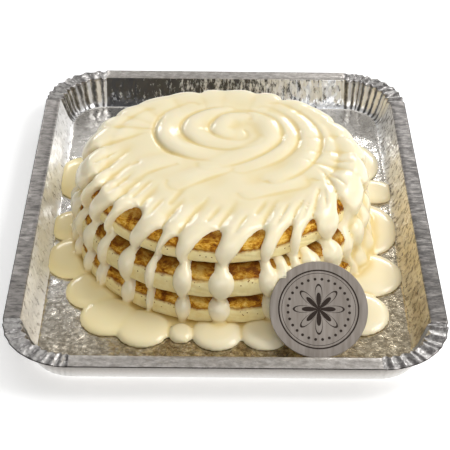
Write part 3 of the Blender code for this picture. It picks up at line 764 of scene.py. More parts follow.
class Grid:
    def __init__(self):
        self.axes = [np.arange(low, high + SAUCE_STEP, SAUCE_STEP, dtype=np.float32)
                     for low, high in zip(SAUCE_LOW, SAUCE_HIGH)]
        self.field = np.full([len(axis) for axis in self.axes], 50.0, dtype=np.float32)

    def places(self):
        """The coordinates of the whole grid, one array to an axis."""
        return np.meshgrid(*self.axes, indexing="ij", sparse=True)

    def plan(self, centre_x, centre_y):
        """The x and y of the grid's columns from a centre."""
        return np.meshgrid(self.axes[0] - centre_x, self.axes[1] - centre_y, indexing="ij")

    def around(self, low, high, margin=7):
        """The index ranges and the coordinates of the cells round a box."""
        ranges = []
        for axis, start, end in zip(self.axes, low, high):
            first = max(0, int(np.searchsorted(axis, start - margin)))
            last = min(len(axis), int(np.searchsorted(axis, end + margin)))
            ranges.append(slice(first, last))
        spans = [axis[span] for axis, span in zip(self.axes, ranges)]
        return tuple(ranges), np.meshgrid(*spans, indexing="ij", sparse=True)

    def join(self, ranges, gap, blend):
        self.field[ranges] = smooth_min(self.field[ranges], gap.astype(np.float32), blend)

    def add_chain(self, points, radii, blend):
        """Joins balls and the cones between them onto the field."""
        points = np.array(points, dtype=float)
        reach = np.array(radii)[:, None]
        ranges, places = self.around((points - reach).min(axis=0), (points + reach).max(axis=0))
        best = None
        for start, end, radius_start, radius_end in zip(points, points[1:], radii, radii[1:]):
            share, gap = nearest_on(places, start, end)
            gap = gap - (radius_start + share * (radius_end - radius_start))
            best = gap if best is None else smooth_min(best, gap, LINK_BLEND)
        self.join(ranges, best, blend)

    def add_lobe(self, centre, radii, blend):
        """Joins a low dome with a rounded edge onto the field."""
        centre = np.array(centre)
        radii = np.array(radii)
        ranges, places = self.around(centre - radii, centre + radii)
        across, along, up = ((place - middle) / radius
                             for place, middle, radius in zip(places, centre, radii))
        plan = across ** 2 + along ** 2
        slope = np.sqrt((4 * plan * across / radii[0]) ** 2 + (4 * plan * along / radii[1]) ** 2
                        + (2 * up / radii[2]) ** 2)
        gap = np.clip((plan ** 2 + up ** 2 - 1) / np.maximum(slope, 0.05), -5, 5)
        self.join(ranges, gap, blend)


def pancake_distance(name, grid):
    """Distance from a pancake's surface over the whole grid, below 0 inside it."""
    centre_x, centre_y, radius = PANCAKES[name]
    outline = [(0.0, PANCAKE_THICKNESS)]
    for position in np.linspace(-0.02, 1.0, 90):
        inward, height, _ = rim_profile(position)
        outline.append((radius - inward, height))
    outline = np.array(outline + [(0.0, 0.0)])
    reach_axis = np.arange(0, 130, 0.5)
    reach, height = np.meshgrid(reach_axis, grid.axes[2] - pancake_base(name), indexing="ij")
    gaps = [nearest_on((reach, height), start, end)[1] for start, end in zip(outline, outline[1:])]
    nearest = np.minimum.reduce(gaps)
    edge = np.interp(height, outline[::-1, 1], outline[::-1, 0])
    inside = (height > 0) & (height < PANCAKE_THICKNESS) & (reach < edge)
    signed = np.where(inside, -nearest, nearest)
    grid_x, grid_y = grid.plan(centre_x, centre_y)
    flat_reach = np.hypot(grid_x, grid_y) - pancake_wobble(name, np.arctan2(grid_x, -grid_y))
    result = np.empty(grid.field.shape, dtype=np.float32)
    for level in range(len(grid.axes[2])):
        result[:, :, level] = np.interp(flat_reach, reach_axis, signed[:, level])
    return result


def openings():
    """The shown openings and then those at the back, going round once."""
    first = FRONT_OPENINGS[0]
    chosen = list(FRONT_OPENINGS)
    first_back = FRONT_OPENINGS[-1][0]
    back_span = 360 + first[0] - first_back
    count = round(back_span / BACK_OPENING_STEP)
    for index in range(1, count):
        azimuth = first_back + index * back_span / count + RANDOM.uniform(-2, 2)
        girth = RANDOM.uniform(*BACK_OPENING_TOPS)
        chosen.append((azimuth, girth, RANDOM.uniform(*BACK_OPENING_HALF_WIDTHS)))
    return chosen + [(first[0] + 360, first[1], first[2])]


def drips_between(chosen):
    """Azimuth, half width and rise of the drip between each pair of openings."""
    radius = PANCAKES["pancake_top"][2]
    narrowest, widest = DRIP_HALF_WIDTHS
    found = []
    for before, after in zip(chosen, chosen[1:]):
        free = math.radians(after[0] - before[0]) * radius - before[2] - after[2]
        found.append(((before[0] + after[0]) / 2, min(widest, max(narrowest, DRIP_FILL * free)), 0.0))
    return found


def lower_tier(upper, width_shares):
    """Drips that carry on from the tier above, a little off its places and widths."""
    return [(azimuth + RANDOM.uniform(-TIER_SHIFT, TIER_SHIFT), half_width * RANDOM.uniform(*width_shares),
             RANDOM.uniform(-TIER_RISE, TIER_RISE)) for azimuth, half_width, _ in upper]


def drip_table(azimuths, heights, chosen, shape, radius):
    """Thickness of the drips by azimuth and by height over the pancake's underside."""
    stations, shares, proud = zip(*shape)
    table = np.full((len(azimuths), len(heights)), NO_SAUCE)
    for azimuth, half_width, rise in chosen:
        relief = DRIP_RELIEF * np.interp(heights - rise, stations, proud)
        width = half_width * np.interp(heights - rise, stations, shares)
        gap = np.abs(wrapped(azimuths[:, None] - azimuth))
        across = np.radians(gap) * radius / width[None, :]
        across = np.minimum(across, 2.0) ** 2
        dome = relief[None, :] * (1 - (1 - DRIP_BEND) * across - DRIP_BEND * across ** 2)
        table = smooth_max(table, np.maximum(dome, NO_SAUCE), TIER_BLEND)
    return table


def side_thickness(name, grid, chosen, shape):
    """The drips' thickness over the whole grid, from their table."""
    centre_x, centre_y, radius = PANCAKES[name]
    azimuths = np.arange(0, 360, AZIMUTH_STEP)
    table = drip_table(azimuths, grid.axes[2] - pancake_base(name), chosen, shape, radius)
    grid_x, grid_y = grid.plan(centre_x, centre_y)
    place = (np.degrees(np.arctan2(grid_x, -grid_y)) % 360) / AZIMUTH_STEP
    first = np.floor(place).astype(int) % len(azimuths)
    share = (place - np.floor(place))[..., None]
    following = (first + 1) % len(azimuths)
    return table[first] * (1 - share) + table[following] * share


def flow_to_rim(grid_x, grid_y, radius):
    """The azimuth at which the stream through each point reaches the rim, and the way left to it."""
    azimuth = np.arctan2(grid_x, -grid_y)
    beyond = radius ** 2 - grid_x ** 2 - grid_y ** 2
    for _ in range(FLOW_ROUNDS):
        outward = np.interp(np.degrees(azimuth), *zip(*STREAM_OUTWARD))
        along_x = outward * np.sin(azimuth) + (1 - outward) * POUR_DIRECTION[0]
        along_y = -outward * np.cos(azimuth) + (1 - outward) * POUR_DIRECTION[1]
        length = np.hypot(along_x, along_y)
        along_x /= length
        along_y /= length
        toward = grid_x * along_x + grid_y * along_y
        left = np.maximum(-toward + np.sqrt(np.maximum(toward ** 2 + beyond, 0)), 0)
        left = np.where(beyond > 0, left, 0)
        found = np.arctan2(grid_x + left * along_x, -(grid_y + left * along_y))
        azimuth = azimuth + FLOW_STEP * ((found - azimuth + math.pi) % (2 * math.pi) - math.pi)
    return np.degrees(azimuth), left


def girth_coordinate(reach, height, radius):
    """Way up a pancake's side from its underside, over the rim and inward on its top."""
    upper_in, upper_high = UPPER_ROUND
    shoulder = PANCAKE_THICKNESS - upper_high
    out = reach - (radius - upper_in)
    up = height - shoulder
    turn = np.arctan2(np.maximum(up, 0), np.maximum(out, 1e-6))
    round_end = shoulder + upper_in * math.pi / 2
    over = np.where(out > 0, shoulder + upper_in * turn, round_end - out)
    return np.where(up > 0, over, height)


def curve_through(points, steps=5):
    """A smooth line through given points."""
    padded = [points[0]] + list(points) + [points[-1]]
    line = []
    for corners in zip(padded, padded[1:], padded[2:], padded[3:]):
        for step in range(steps):
            share = step / steps
            line.append(tuple(
                0.5 * (2 * b + (c - a) * share + (2 * a - 5 * b + 4 * c - d) * share ** 2
                       + (3 * b - a - 3 * c + d) * share ** 3)
                for a, b, c, d in zip(*corners)))
    return line + [points[-1]]


def swirl_relief(grid_x, grid_y):
    """Height of the swirl's ridges over the cap, steep outward and soft inward."""
    relief = np.zeros(grid_x.shape)
    crease = np.zeros(grid_x.shape)
    own_reach = np.hypot(grid_x - SWIRL_CENTRE[0], grid_y - SWIRL_CENTRE[1])
    for ridge in SWIRL_RIDGES:
        line = curve_through(ridge)
        gap = np.full(grid_x.shape, 1e3)
        height = np.zeros(grid_x.shape)
        crest_reach = np.zeros(grid_x.shape)
        for start, end in zip(line, line[1:]):
            share, here = nearest_on((grid_x, grid_y), start[:2], end[:2])
            near_x, near_y, crest = (first + share * (last - first) for first, last in zip(start, end))
            closer = here < gap
            gap = np.where(closer, here, gap)
            height = np.where(closer, crest, height)
            reach = np.hypot(near_x - SWIRL_CENTRE[0], near_y - SWIRL_CENTRE[1])
            crest_reach = np.where(closer, reach, crest_reach)
        outer = own_reach > crest_reach
        steep = 1 - np.clip(gap / RIDGE_OUTER_WIDTH, 0, 1) ** 2
        soft = (1 - np.clip(gap / RIDGE_INNER_WIDTH, 0, 1) ** 2) ** 2
        relief = np.maximum(relief, height * np.where(outer, steep, soft))
        past = np.clip((gap - RIDGE_OUTER_WIDTH) / RIDGE_CREASE_WIDTH + 0.5, 0, 1)
        dip = height * RIDGE_CREASE * np.sin(math.pi * past) ** 2
        crease = np.maximum(crease, np.where(outer, dip, 0))
    return relief - crease


def stream_thickness(azimuth, girth, left, chosen):
    """Thickness of the streams and drips between the openings, with the creases between the streams."""
    places, tops, half_widths = (np.array(column) for column in zip(*chosen))
    number = np.clip(np.searchsorted(places, azimuth, side="right") - 1, 0, len(chosen) - 2)
    lengths = np.array([RANDOM.uniform(*STREAM_LENGTHS) for _ in chosen])
    per_degree = math.radians(1) * PANCAKES["pancake_top"][2]
    share = (azimuth - places[number]) / (places[number + 1] - places[number])
    arch_top = tops[number] + (tops[number + 1] - tops[number]) * smooth_rise(share, 0, 1)

    def open_half_width(index):
        rise = np.clip((girth / tops[index] - ARCH_START) / (1 - ARCH_START), 0, 1)
        return half_widths[index] * np.sqrt(1 - rise ** 2) / per_degree

    start = places[number] + open_half_width(number)
    end = places[number + 1] - open_half_width(number + 1)
    stations, shares, proud = zip(*TOP_DRIP_SHAPE)
    half = np.maximum((end - start) / 2 * per_degree, 1.0) * np.interp(girth, stations, shares)
    across = np.minimum(np.abs(azimuth - (start + end) / 2) * per_degree / half, 2.0) ** 2
    fade = 1 - np.clip(left / lengths[number], 0, 1) ** 2
    crest = DRIP_RELIEF * np.interp(girth, stations, proud)
    crest = crest - (crest - CAP_THICKNESS) * smooth_rise(girth, *CAP_GIRTHS)
    kept = np.interp(wrapped(azimuth), *zip(*GROOVE_SHARES))
    on_top = smooth_rise(girth, arch_top, GROOVE_RUN)
    depth = (1 - on_top * (1 - kept)) * fade
    depth = np.where(girth < arch_top - 2, np.maximum(depth, 1.0), depth)
    bend = DRIP_BEND - TOP_BEND_LOSS * on_top
    thickness = crest * (1 - depth * ((1 - bend) * across + bend * across ** 2))
    near_run, far_run = CREASE_ENDS
    for place, near, far, crease_depth in CREASES:
        gap = (azimuth - place) * per_degree / CREASE_HALF_WIDTH
        ends = smooth_rise(left, near - near_run / 2, near_run) * smooth_rise(far - left, 0, far_run)
        dip = crease_depth * np.exp(-gap ** 2) * ends
        thickness = thickness - dip * smooth_rise(girth, *CREASE_GIRTHS)
    return thickness


def top_thickness(grid, chosen):
    """Thickness of the sauce over the top pancake: swirl, streams and the drips below the rim."""
    centre_x, centre_y, radius = PANCAKES["pancake_top"]
    grid_x, grid_y = grid.plan(centre_x, centre_y)
    at_rim, left = (values[..., None] for values in flow_to_rim(grid_x, grid_y, radius))
    heights = grid.axes[2] - pancake_base("pancake_top")
    lowest = int(np.searchsorted(heights, -4))
    girth = girth_coordinate(np.hypot(grid_x, grid_y)[..., None], heights[lowest:], radius)
    lean = np.interp(wrapped(at_rim), *zip(*OPENING_LEANS))
    azimuth = at_rim - lean * smooth_rise(girth, *LEAN_GIRTHS)
    azimuth = (azimuth - chosen[0][0]) % 360 + chosen[0][0]
    thickness = stream_thickness(azimuth, girth, left, chosen)
    swirl = swirl_relief(grid_x + centre_x, grid_y + centre_y)[..., None]
    result = np.full(grid.field.shape, NO_SAUCE)
    result[:, :, lowest:] = np.maximum(thickness, NO_SAUCE) + swirl * smooth_rise(girth, *SWIRL_GIRTHS)
    outward = np.clip((np.hypot(grid_x, grid_y) - radius - RIM_SWELL_START) / RIM_SWELL_RUN, 0, 1)
    swell = RIM_SWELL * np.sin(np.arctan2(grid_x, -grid_y)) ** 2 * outward
    return result + swell[..., None] * np.clip(result, 0, 1)


def tray_clip(grid):
    """Distance past the tray's inner floor and walls, above 0 in the board."""
    slope = (WALL_RUN + EDGE_ROUND) / (FLANGE_TOP - FLOOR_TOP)
    low = FLOOR_TOP / MM - 0.15
    inset = (FLANGE_WIDTH + WALL_RUN + EDGE_ROUND) / MM
    grid_x, grid_y, grid_z = grid.places()
    half_x, half_y = (half / MM - inset + slope * (grid_z - low) for half in TRAY_HALF)
    walls = np.maximum(np.abs(grid_x) - half_x, np.abs(grid_y) - half_y)
    return np.maximum(walls, low - grid_z)


def card_matrix():
    """The card's place and lean, in mm: its Y leads from its foot to its top, and Z out of its face."""
    lean = math.radians(CARD_LEAN_DEGREES)
    foot = (*CARD_FOOT, FLOOR_TOP / MM + PANCAKE_GAP + CARD_THICKNESS * math.sin(lean))
    turn = Matrix.Rotation(math.pi / 2 - lean, 4, "X")
    return Matrix.Translation(foot) @ turn @ Matrix.Translation((0, CARD_DIAMETER / 2, 0))


def card_clearance(grid):
    """Distance from the card, which the sauce keeps clear of."""
    grid_x, grid_y, grid_z = grid.places()
    across, up, through = (turn_x * grid_x + turn_y * grid_y + turn_z * grid_z + shift
                           for turn_x, turn_y, turn_z, shift in card_matrix().inverted()[:3])
    beside = np.hypot(across, up) - CARD_DIAMETER / 2
    return np.maximum(beside, np.abs(through) - CARD_THICKNESS / 2)


def unevenness(grid):
    """Slow and fine waves of the poured sauce, in mm."""
    grid_x, grid_y, grid_z = grid.places()
    slow = np.sin(grid_x / 7.3 + 1.7 * np.sin(grid_y / 11)) * np.sin(grid_y / 8.1 + 1.3 * np.sin(grid_x / 13))
    fine = np.sin(grid_x / 4.1 + grid_z / 3.3) * np.sin(grid_y / 4.7 - grid_z / 3.9)
    return UNEVENNESS * (slow + 0.7 * fine)


def add_neck(grid, number, under_azimuth, over_azimuth):
    """A thin thread that carries a drip over the groove on top of a pancake, counted from below."""
    under, over = list(PANCAKES)[number:number + 2]
    ends = ((over, over_azimuth), (over, over_azimuth), (under, under_azimuth))
    points = []
    for (name, azimuth), (past, rise) in zip(ends, NECK_POINTS):
        *centre, radius = PANCAKES[name]
        points.append((*on_circle(centre, azimuth, radius + past), pancake_base(over) + rise))
    grid.add_chain(points, [NECK_END_RADIUS, NECK_RADIUS, NECK_END_RADIUS], NECK_BLEND)


def add_curtain(grid):
    """The sheet on the right, which dips a little over the grooves and flares out into the pool."""
    edge_swing = 4
    edge_wave = 5
    folds_per_degree = 0.55
    fold_swing = 1.5
    fold_swing_wave = 9
    fold_twist = 14
    flare_height = 15
    top_blend = 3.0
    grid_x, grid_y, heights = grid.places()
    stations = [pancake_base(name) + CURTAIN_LEVEL for name in PANCAKES]
    centre_x, centre_y, radius = (np.interp(heights, stations, values)
                                  for values in zip(*PANCAKES.values()))
    beside_x = grid_x - centre_x
    beside_y = grid_y - centre_y
    azimuth = np.degrees(np.arctan2(beside_x, -beside_y))
    wander = edge_swing * np.sin(heights / edge_wave)
    window = smooth_rise(azimuth - wander, CURTAIN_SPAN[0], CURTAIN_FADE)
    window = window * smooth_rise(CURTAIN_SPAN[1] + wander - azimuth, 0, CURTAIN_FADE)
    tier = stations[1] - stations[0]
    groove = 0.5 - 0.5 * np.cos(2 * math.pi * (heights - stations[0]) / tier)
    swing = fold_swing * np.sin(azimuth / fold_swing_wave)
    fold = CURTAIN_FOLD * np.sin(azimuth * folds_per_degree + swing + heights / fold_twist)
    flare = CURTAIN_FLARE * np.clip(1 - heights / flare_height, 0, 1) ** 2
    surface = radius + CURTAIN_THICKNESS + fold + flare - CURTAIN_DIP * groove
    surface = surface - CURTAIN_RETREAT * (1 - window)
    above = heights - stations[-1] - CURTAIN_RISE
    sheet = smooth_max(np.hypot(beside_x, beside_y) - surface, above, top_blend)
    grid.field = smooth_min(grid.field, sheet.astype(np.float32), CURTAIN_BLEND)


def add_pool(grid):
    """The ring and lobes of the pool, kept low at the foot of the stack."""
    pool = Grid()
    grid_x, grid_y, grid_z = pool.places()
    reach = np.hypot(grid_x - POOL_CENTRE[0], grid_y - POOL_CENTRE[1])
    ring = np.sqrt(((reach - POOL_RING_RADIUS) / POOL_RING_WIDTH) ** 2
                   + ((grid_z - 1) / POOL_RING_HEIGHT) ** 2) - 1
    pool.field = (ring * POOL_RING_HEIGHT).astype(np.float32)
    lobes = list(POOL_LOBES)
    first, last = BACK_LOBE_AZIMUTHS
    for index in range(int((last - first) / BACK_LOBE_STEP) + 1):
        radius = RANDOM.uniform(*BACK_LOBE_RADIUS)
        reach_in = RANDOM.uniform(*BACK_LOBE_REACH) - radius
        lobes.append((*on_circle(POOL_CENTRE, first + index * BACK_LOBE_STEP, reach_in), radius, radius))
    for centre_x, centre_y, half_x, half_y in lobes:
        pool.add_lobe((centre_x, centre_y, 1.0), (half_x, half_y, POOL_HEIGHT), LOBE_BLEND)
    foot_reach, foot_height, foot_rise = POOL_FOOT
    ceiling = grid_z - foot_height - 1 - foot_rise * np.maximum(reach - foot_reach, 0)
    grid.field = smooth_min(grid.field, smooth_max(pool.field, ceiling * 0.7, 1.0), POOL_BLEND)


def sauce_field():
    """The grid with the whole sauce, and the distance from the nearest pancake over it."""
    grid = Grid()
    distances = {name: pancake_distance(name, grid) for name in PANCAKES}
    chosen = openings()
    field = distances["pancake_top"] - top_thickness(grid, chosen)
    upper = drips_between(chosen)
    runs = [(azimuth, half_width, RANDOM.uniform(-1.5, 1.5))
            for azimuth, half_width in LEFT_RUNS + RIGHT_RUNS]
    middle = lower_tier(upper, (0.85, 1.05))
    lowest = lower_tier(middle, (0.8, 0.95))
    low_runs = lower_tier(runs, (0.7, 1.0))
    for name, drips, shape in (("pancake_middle", middle + runs, MIDDLE_DRIP_SHAPE),
                               ("pancake_bottom", lowest + low_runs, BOTTOM_DRIP_SHAPE)):
        side = side_thickness(name, grid, drips, shape)
        field = smooth_min(field, distances[name] - side, TIER_BLEND)
    grid.field = (field - unevenness(grid)).astype(np.float32)
    tiers = (lowest, middle, upper)
    for number in (1, 0):
        for under, over in zip(tiers[number], tiers[number + 1]):
            add_neck(grid, number, under[0], over[0])
    add_curtain(grid)
    add_pool(grid)
    core = np.minimum.reduce(list(distances.values()))
    field = np.maximum(grid.field, -(core + SAUCE_BITE))
    field = np.maximum(field, tray_clip(grid))
    field = np.maximum(field, SAUCE_CLEARANCE - card_clearance(grid))
    for axis in range(3):
        ends = np.moveaxis(field, axis, 0)
        ends[[0, -1]] = np.maximum(ends[[0, -1]], 0.5)
    grid.field = field
    return grid, core


def surface_of(field):
    """Points and quads of the field's zero surface, one point in each cell that it crosses."""
    below = field < 0
    spans = (slice(0, -1), slice(1, None))
    inside = sum(below[corner].astype(np.int8) for corner in itertools.product(spans, repeat=3))
    cells = np.argwhere((inside > 0) & (inside < 8))
    number = np.full(inside.shape, -1)
    number[tuple(cells.T)] = np.arange(len(cells))
    total = np.zeros((len(cells), 3))
    crossings = np.zeros(len(cells))
    for axis in range(3):
        others = [other for other in range(3) if other != axis]
        for steps in itertools.product((0, 1), repeat=2):
            start = cells.copy()
            start[:, others] += steps
            end = start.copy()
            end[:, axis] += 1
            value_start = field[tuple(start.T)]
            value_end = field[tuple(end.T)]
            crossed = (value_start < 0) != (value_end < 0)
            share = np.where(crossed, value_start / np.where(crossed, value_start - value_end, 1), 0)
            place = start.astype(float)
            place[:, axis] += share
            total[crossed] += place[crossed]
            crossings += crossed
    points = total / crossings[:, None] * SAUCE_STEP + np.array(SAUCE_LOW)
    quads = []
    for axis in range(3):
        others = [(axis + 1) % 3, (axis + 2) % 3]
        ends = []
        for span in spans:
            inner = [slice(1, -1)] * 3
            inner[axis] = span
            ends.append(below[tuple(inner)])
        for order, crossed in ((1, ends[0] & ~ends[1]), (-1, ~ends[0] & ends[1])):
            cell = np.argwhere(crossed) + 1
            cell[:, axis] -= 1
            corners = []
            for steps in ((1, 1), (0, 1), (0, 0), (1, 0)):
                near = cell.copy()
                near[:, others] -= steps
                corners.append(number[tuple(near.T)])
            quads.append(np.stack(corners, axis=1)[:, ::order])
    return points, np.concatenate(quads)


def largest_body(points, quads):
    """Drops loose drops, by giving every point the lowest number that it is joined to."""
    label = np.arange(len(points))
    while True:
        lowest = label[quads].min(axis=1)
        spread = label.copy()
        for corner in range(4):
            np.minimum.at(spread, quads[:, corner], lowest)
        spread = spread[spread]
        if np.array_equal(spread, label):
            break
        label = spread
    names, sizes = np.unique(label, return_counts=True)
    kept = label == names[np.argmax(sizes)]
    renumber = np.cumsum(kept) - 1
    return points[kept], renumber[quads[kept[quads[:, 0]]]]


def standing_shares(points, quads, normals):
    """How far each point stands over the surface smoothed round it: 0.5 is level, less is a dip."""
    ends = np.concatenate([quads[:, [corner, (corner + 1) % 4]] for corner in range(4)])
    ends = np.concatenate([ends, ends[:, ::-1]])
    joined = np.bincount(ends[:, 0], minlength=len(points))
    smooth = points.copy()
    for _ in range(STANDING_ROUNDS):
        smooth = np.stack([np.bincount(ends[:, 0], smooth[ends[:, 1], axis], len(points)) / joined
                           for axis in range(3)], axis=1)
    above = ((points - smooth) * normals).sum(axis=1)
    return np.clip(0.5 + above / STANDING_SPAN, 0, 1)


def hidden_points(core, points):
    """Numbers of the points that lie inside a pancake or on the tray's floor."""
    nearest = np.rint((points - np.array(SAUCE_LOW)) / SAUCE_STEP).astype(int)
    inside = core[tuple(nearest.T)] < -HIDDEN_SHARE * SAUCE_BITE
    return np.flatnonzero(inside | (points[:, 2] < FLOOR_TOP / MM)).tolist()


def make_sauce():
    """The sauce's surface, softened, and with fewer faces above all where it is hidden."""
    grid, core = sauce_field()
    points, quads = largest_body(*surface_of(grid.field))
    sauce = mesh_object("white_chocolate_flow", (points * MM).tolist(), quads.tolist(), sauce_material())
    normals = np.empty(len(points) * 3)
    sauce.data.vertex_normals.foreach_get("vector", normals)
    standing = sauce.data.attributes.new(STANDING, "FLOAT", "POINT")
    standing.data.foreach_set("value", standing_shares(points, quads, normals.reshape(-1, 3)))
    smooth = sauce.modifiers.new("soften", "SMOOTH")
    smooth.iterations = 2
    hidden = sauce.vertex_groups.new(name="hidden")
    hidden.add(range(len(points)), SHOWN_WEIGHT, "REPLACE")
    hidden.add(hidden_points(core, points), 1.0, "REPLACE")
    fewer = sauce.modifiers.new("fewer_faces", "DECIMATE")
    fewer.ratio = SAUCE_FACE_SHARE
    fewer.vertex_group = hidden.name
    fewer.vertex_group_factor = 1.0
    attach(sauce, "root")
    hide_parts("white_chocolate")


# Tray


def corner_pleats():
    """For each corner, the depth and the flank of its pleats at each point of its arc."""
    draw = random.Random(5)
    found = []
    for _ in CORNER_SIGNS:
        edges = [0.0]
        for _ in range(PLEATS_PER_CORNER):
            edges.append(edges[-1] + draw.uniform(*PLEAT_WIDTHS))
        edges = [edge / edges[-1] for edge in edges]
        deeper = [draw.uniform(*PLEAT_DEPTHS) for _ in range(PLEATS_PER_CORNER)]
        pleats = []
        for step in range(POINTS_PER_CORNER):
            share = step / (POINTS_PER_CORNER - 1)
            number = min(PLEATS_PER_CORNER - 1, sum(share > edge for edge in edges[1:]))
            within = (share - edges[number]) / (edges[number + 1] - edges[number])
            depth = deeper[number] * math.sin(math.pi * within) ** PLEAT_POWER
            pleats.append((depth, math.sin(2 * math.pi * within)))
        found.append(pleats)
    return found


def tray_ring(pleats, inset, height, pleat_depth, ripple_depth=0.0, shrink=1.0):
    """Points round the tray's outline, moved in by inset, with the corner pleats in step."""
    radius = TRAY_CORNER_RADIUS - inset
    half_x, half_y = (half - TRAY_CORNER_RADIUS for half in TRAY_HALF)

    def on_arc(corner, angle, reach, level):
        side_x, side_y = CORNER_SIGNS[corner % 4]
        return Vector((side_x * half_x + reach * math.cos(angle),
                       side_y * half_y + reach * math.sin(angle), level))

    ring = []
    for corner in range(4):
        for step, (wave, _) in enumerate(pleats[corner]):
            angle = math.pi / 2 * (corner + step / (POINTS_PER_CORNER - 1))
            ring.append(on_arc(corner, angle, radius - pleat_depth * wave, height - ripple_depth * wave))
        start = ring[-1].copy()
        end = on_arc(corner + 1, math.pi / 2 * (corner + 1), radius, height)
        ring += [start.lerp(end, step / POINTS_PER_SIDE) for step in range(1, POINTS_PER_SIDE)]
    return [Vector((point.x * shrink, point.y * shrink, point.z)) for point in ring]


def tray_profile():
    """Inset, height, pleat share and ripple share of each row, over the flange and down to the floor.

    The first list is the board's underside, the second the foil.
    """
    wall_start = Vector((FLANGE_WIDTH + EDGE_ROUND, FLANGE_TOP - EDGE_ROUND))
    wall_end = Vector((FLANGE_WIDTH + WALL_RUN - EDGE_ROUND, FLOOR_TOP + EDGE_ROUND))
    lean = (wall_end.x - wall_start.x) / (wall_start.y - wall_end.y)
    outer_top = wall_start.x - BOARD * math.sqrt(1 + lean ** 2)
    under_flange = FLANGE_TOP - BOARD
    under = [(outer_top + lean * wall_start.y, 0.0, 0.0, 0.0),
             (outer_top + lean * (wall_start.y - under_flange), under_flange, 0.8, 1.0),
             (LIP_WIDTH, under_flange, 0.8, 1.0)]
    foil = [(0.0, FLANGE_TOP - BOARD / 2, 0.4, 0.8), (LIP_WIDTH * 0.3, FLANGE_TOP, 0.5, 1.0),
            (LIP_WIDTH, FLANGE_TOP, 0.6, 1.0)]
    for share in (0.35, 0.7, 1.0):
        foil.append((LIP_WIDTH + (FLANGE_WIDTH - LIP_WIDTH) * share, FLANGE_TOP, 0.6 + 0.4 * share, 1.0))
    for share in (0.35, 0.7, 1.0):
        turn = math.pi / 2 * share
        foil.append((FLANGE_WIDTH + EDGE_ROUND * math.sin(turn),
                     FLANGE_TOP - EDGE_ROUND * (1 - math.cos(turn)), 1.0, 1.0 - share))
    foot_start = 0.62
    for row in range(1, WALL_ROWS + 1):
        share = foot_start * row / WALL_ROWS
        foil.append((*wall_start.lerp(wall_end, share), 1.0 - 0.3 * share, 0.0))
    low = Vector(foil[-1][:2])
    corner = Vector((low.x + lean * (low.y - FLOOR_TOP), FLOOR_TOP))
    foot_end = Vector((corner.x + FOOT_ROUND, FLOOR_TOP))
    for row in range(1, FOOT_ROWS + 1):
        share = row / FOOT_ROWS
        place = low.lerp(corner, share).lerp(corner.lerp(foot_end, share), share)
        foil.append((*place, 0.8 * (1 - share), 0.0))
    return under, foil


def cell_tilt(places, size, seed):
    """Height of a sheet crumpled into flat facets, one to a cell of a jittered lattice."""
    lattice = 64
    table = np.random.RandomState(seed).rand(lattice, lattice, 5)
    scaled = places / size
    base = np.floor(scaled).astype(int)
    nearest = np.full(len(places), 1e9)
    height = np.zeros(len(places))
    for step in itertools.product((-1, 0, 1), repeat=2):
        cell = base + np.array(step)
        values = table[cell[:, 0] % lattice, cell[:, 1] % lattice]
        offset = scaled - (cell + values[:, :2])
        gap = (offset ** 2).sum(axis=1)
        tilt = (offset * (values[:, 2:4] - 0.5)).sum(axis=1) + (values[:, 4] - 0.5) * 0.3
        closer = gap < nearest
        height = np.where(closer, tilt, height)
        nearest = np.where(closer, gap, nearest)
    return height


def crinkled(points, first_foil):
    """The points with small facets pressed into the foil, fainter on the flange."""
    large, small = (cell_tilt(points[:, :2], size, seed) for seed, size in enumerate(FACET_SIZES, 3))
    lift = (large + SMALL_FACET_SHARE * small) * FACET_LIFT
    lift[:first_foil] = 0.0
    lift[points[:, 2] > FLANGE_TOP - 0.01 * MM] *= FLANGE_FACET_SHARE
    result = points.copy()
    result[:, 2] = np.minimum(result[:, 2] + lift, FLANGE_TOP)
    return result


def foil_at(centre):
    """Name of the foil on a face of the tray, by the face's centre."""
    beside_x, beside_y = (abs(place) - half + TRAY_CORNER_RADIUS for place, half in zip(centre, TRAY_HALF))
    if centre.z < FLOOR_TOP + FLOOR_SPAN:
        return "floor"
    if beside_x > 0 and beside_y > 0:
        return "corner_flange" if centre.z > FLANGE_TOP - CORNER_FLANGE_SPAN else "corner"
    part = "flange" if centre.z > FLANGE_TOP - FLANGE_SPAN else "wall"
    return ("side_" if beside_y < 0 else "end_") + part


def make_tray():
    under, foil = tray_profile()
    pleats = corner_pleats()
    rings = [tray_ring(pleats, inset, height, PLEAT_DEPTH * pleat, PLEAT_RIPPLE * ripple)
             for inset, height, pleat, ripple in under + foil]
    for row in range(1, FLOOR_RINGS):
        rings.append(tray_ring(pleats, foil[-1][0], FLOOR_TOP, 0.0, 0.0, 1 - row / FLOOR_RINGS))
    count = len(rings[0])
    points = np.array([point for ring in rings for point in ring])
    faces = ring_faces(len(rings), count)
    tray = mesh_object("foil_tray", crinkled(points, len(under) * count), faces, board_material())
    ring_flanks = []
    for pleat_row in pleats:
        ring_flanks += [flank for _, flank in pleat_row] + [0.0] * (POINTS_PER_SIDE - 1)
    flanks = tray.data.attributes.new(FLANK, "FLOAT", "POINT")
    flanks.data.foreach_set("value", np.tile(ring_flanks, len(rings)))
    slots = {}
    for name, terms in FOILS.items():
        tray.data.materials.append(foil_material(name, **terms))
        slots[name] = len(slots) + 1
    board_faces = (len(under) - 1) * count
    edge_faces = (len(under) + 1) * count
    for polygon in tray.data.polygons:
        if polygon.index < board_faces or polygon.index == len(faces) - 2:
            polygon.material_index = 0
        # The flange's outer rim takes the edge foil, painted near black as painted shade
        elif polygon.index < edge_faces:
            polygon.material_index = slots["edge"]
        else:
            polygon.material_index = slots[foil_at(polygon.center)]
    tray.data.set_sharp_from_angle(angle=math.radians(55))
    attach(tray, "root")
    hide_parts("tray")


# Round card


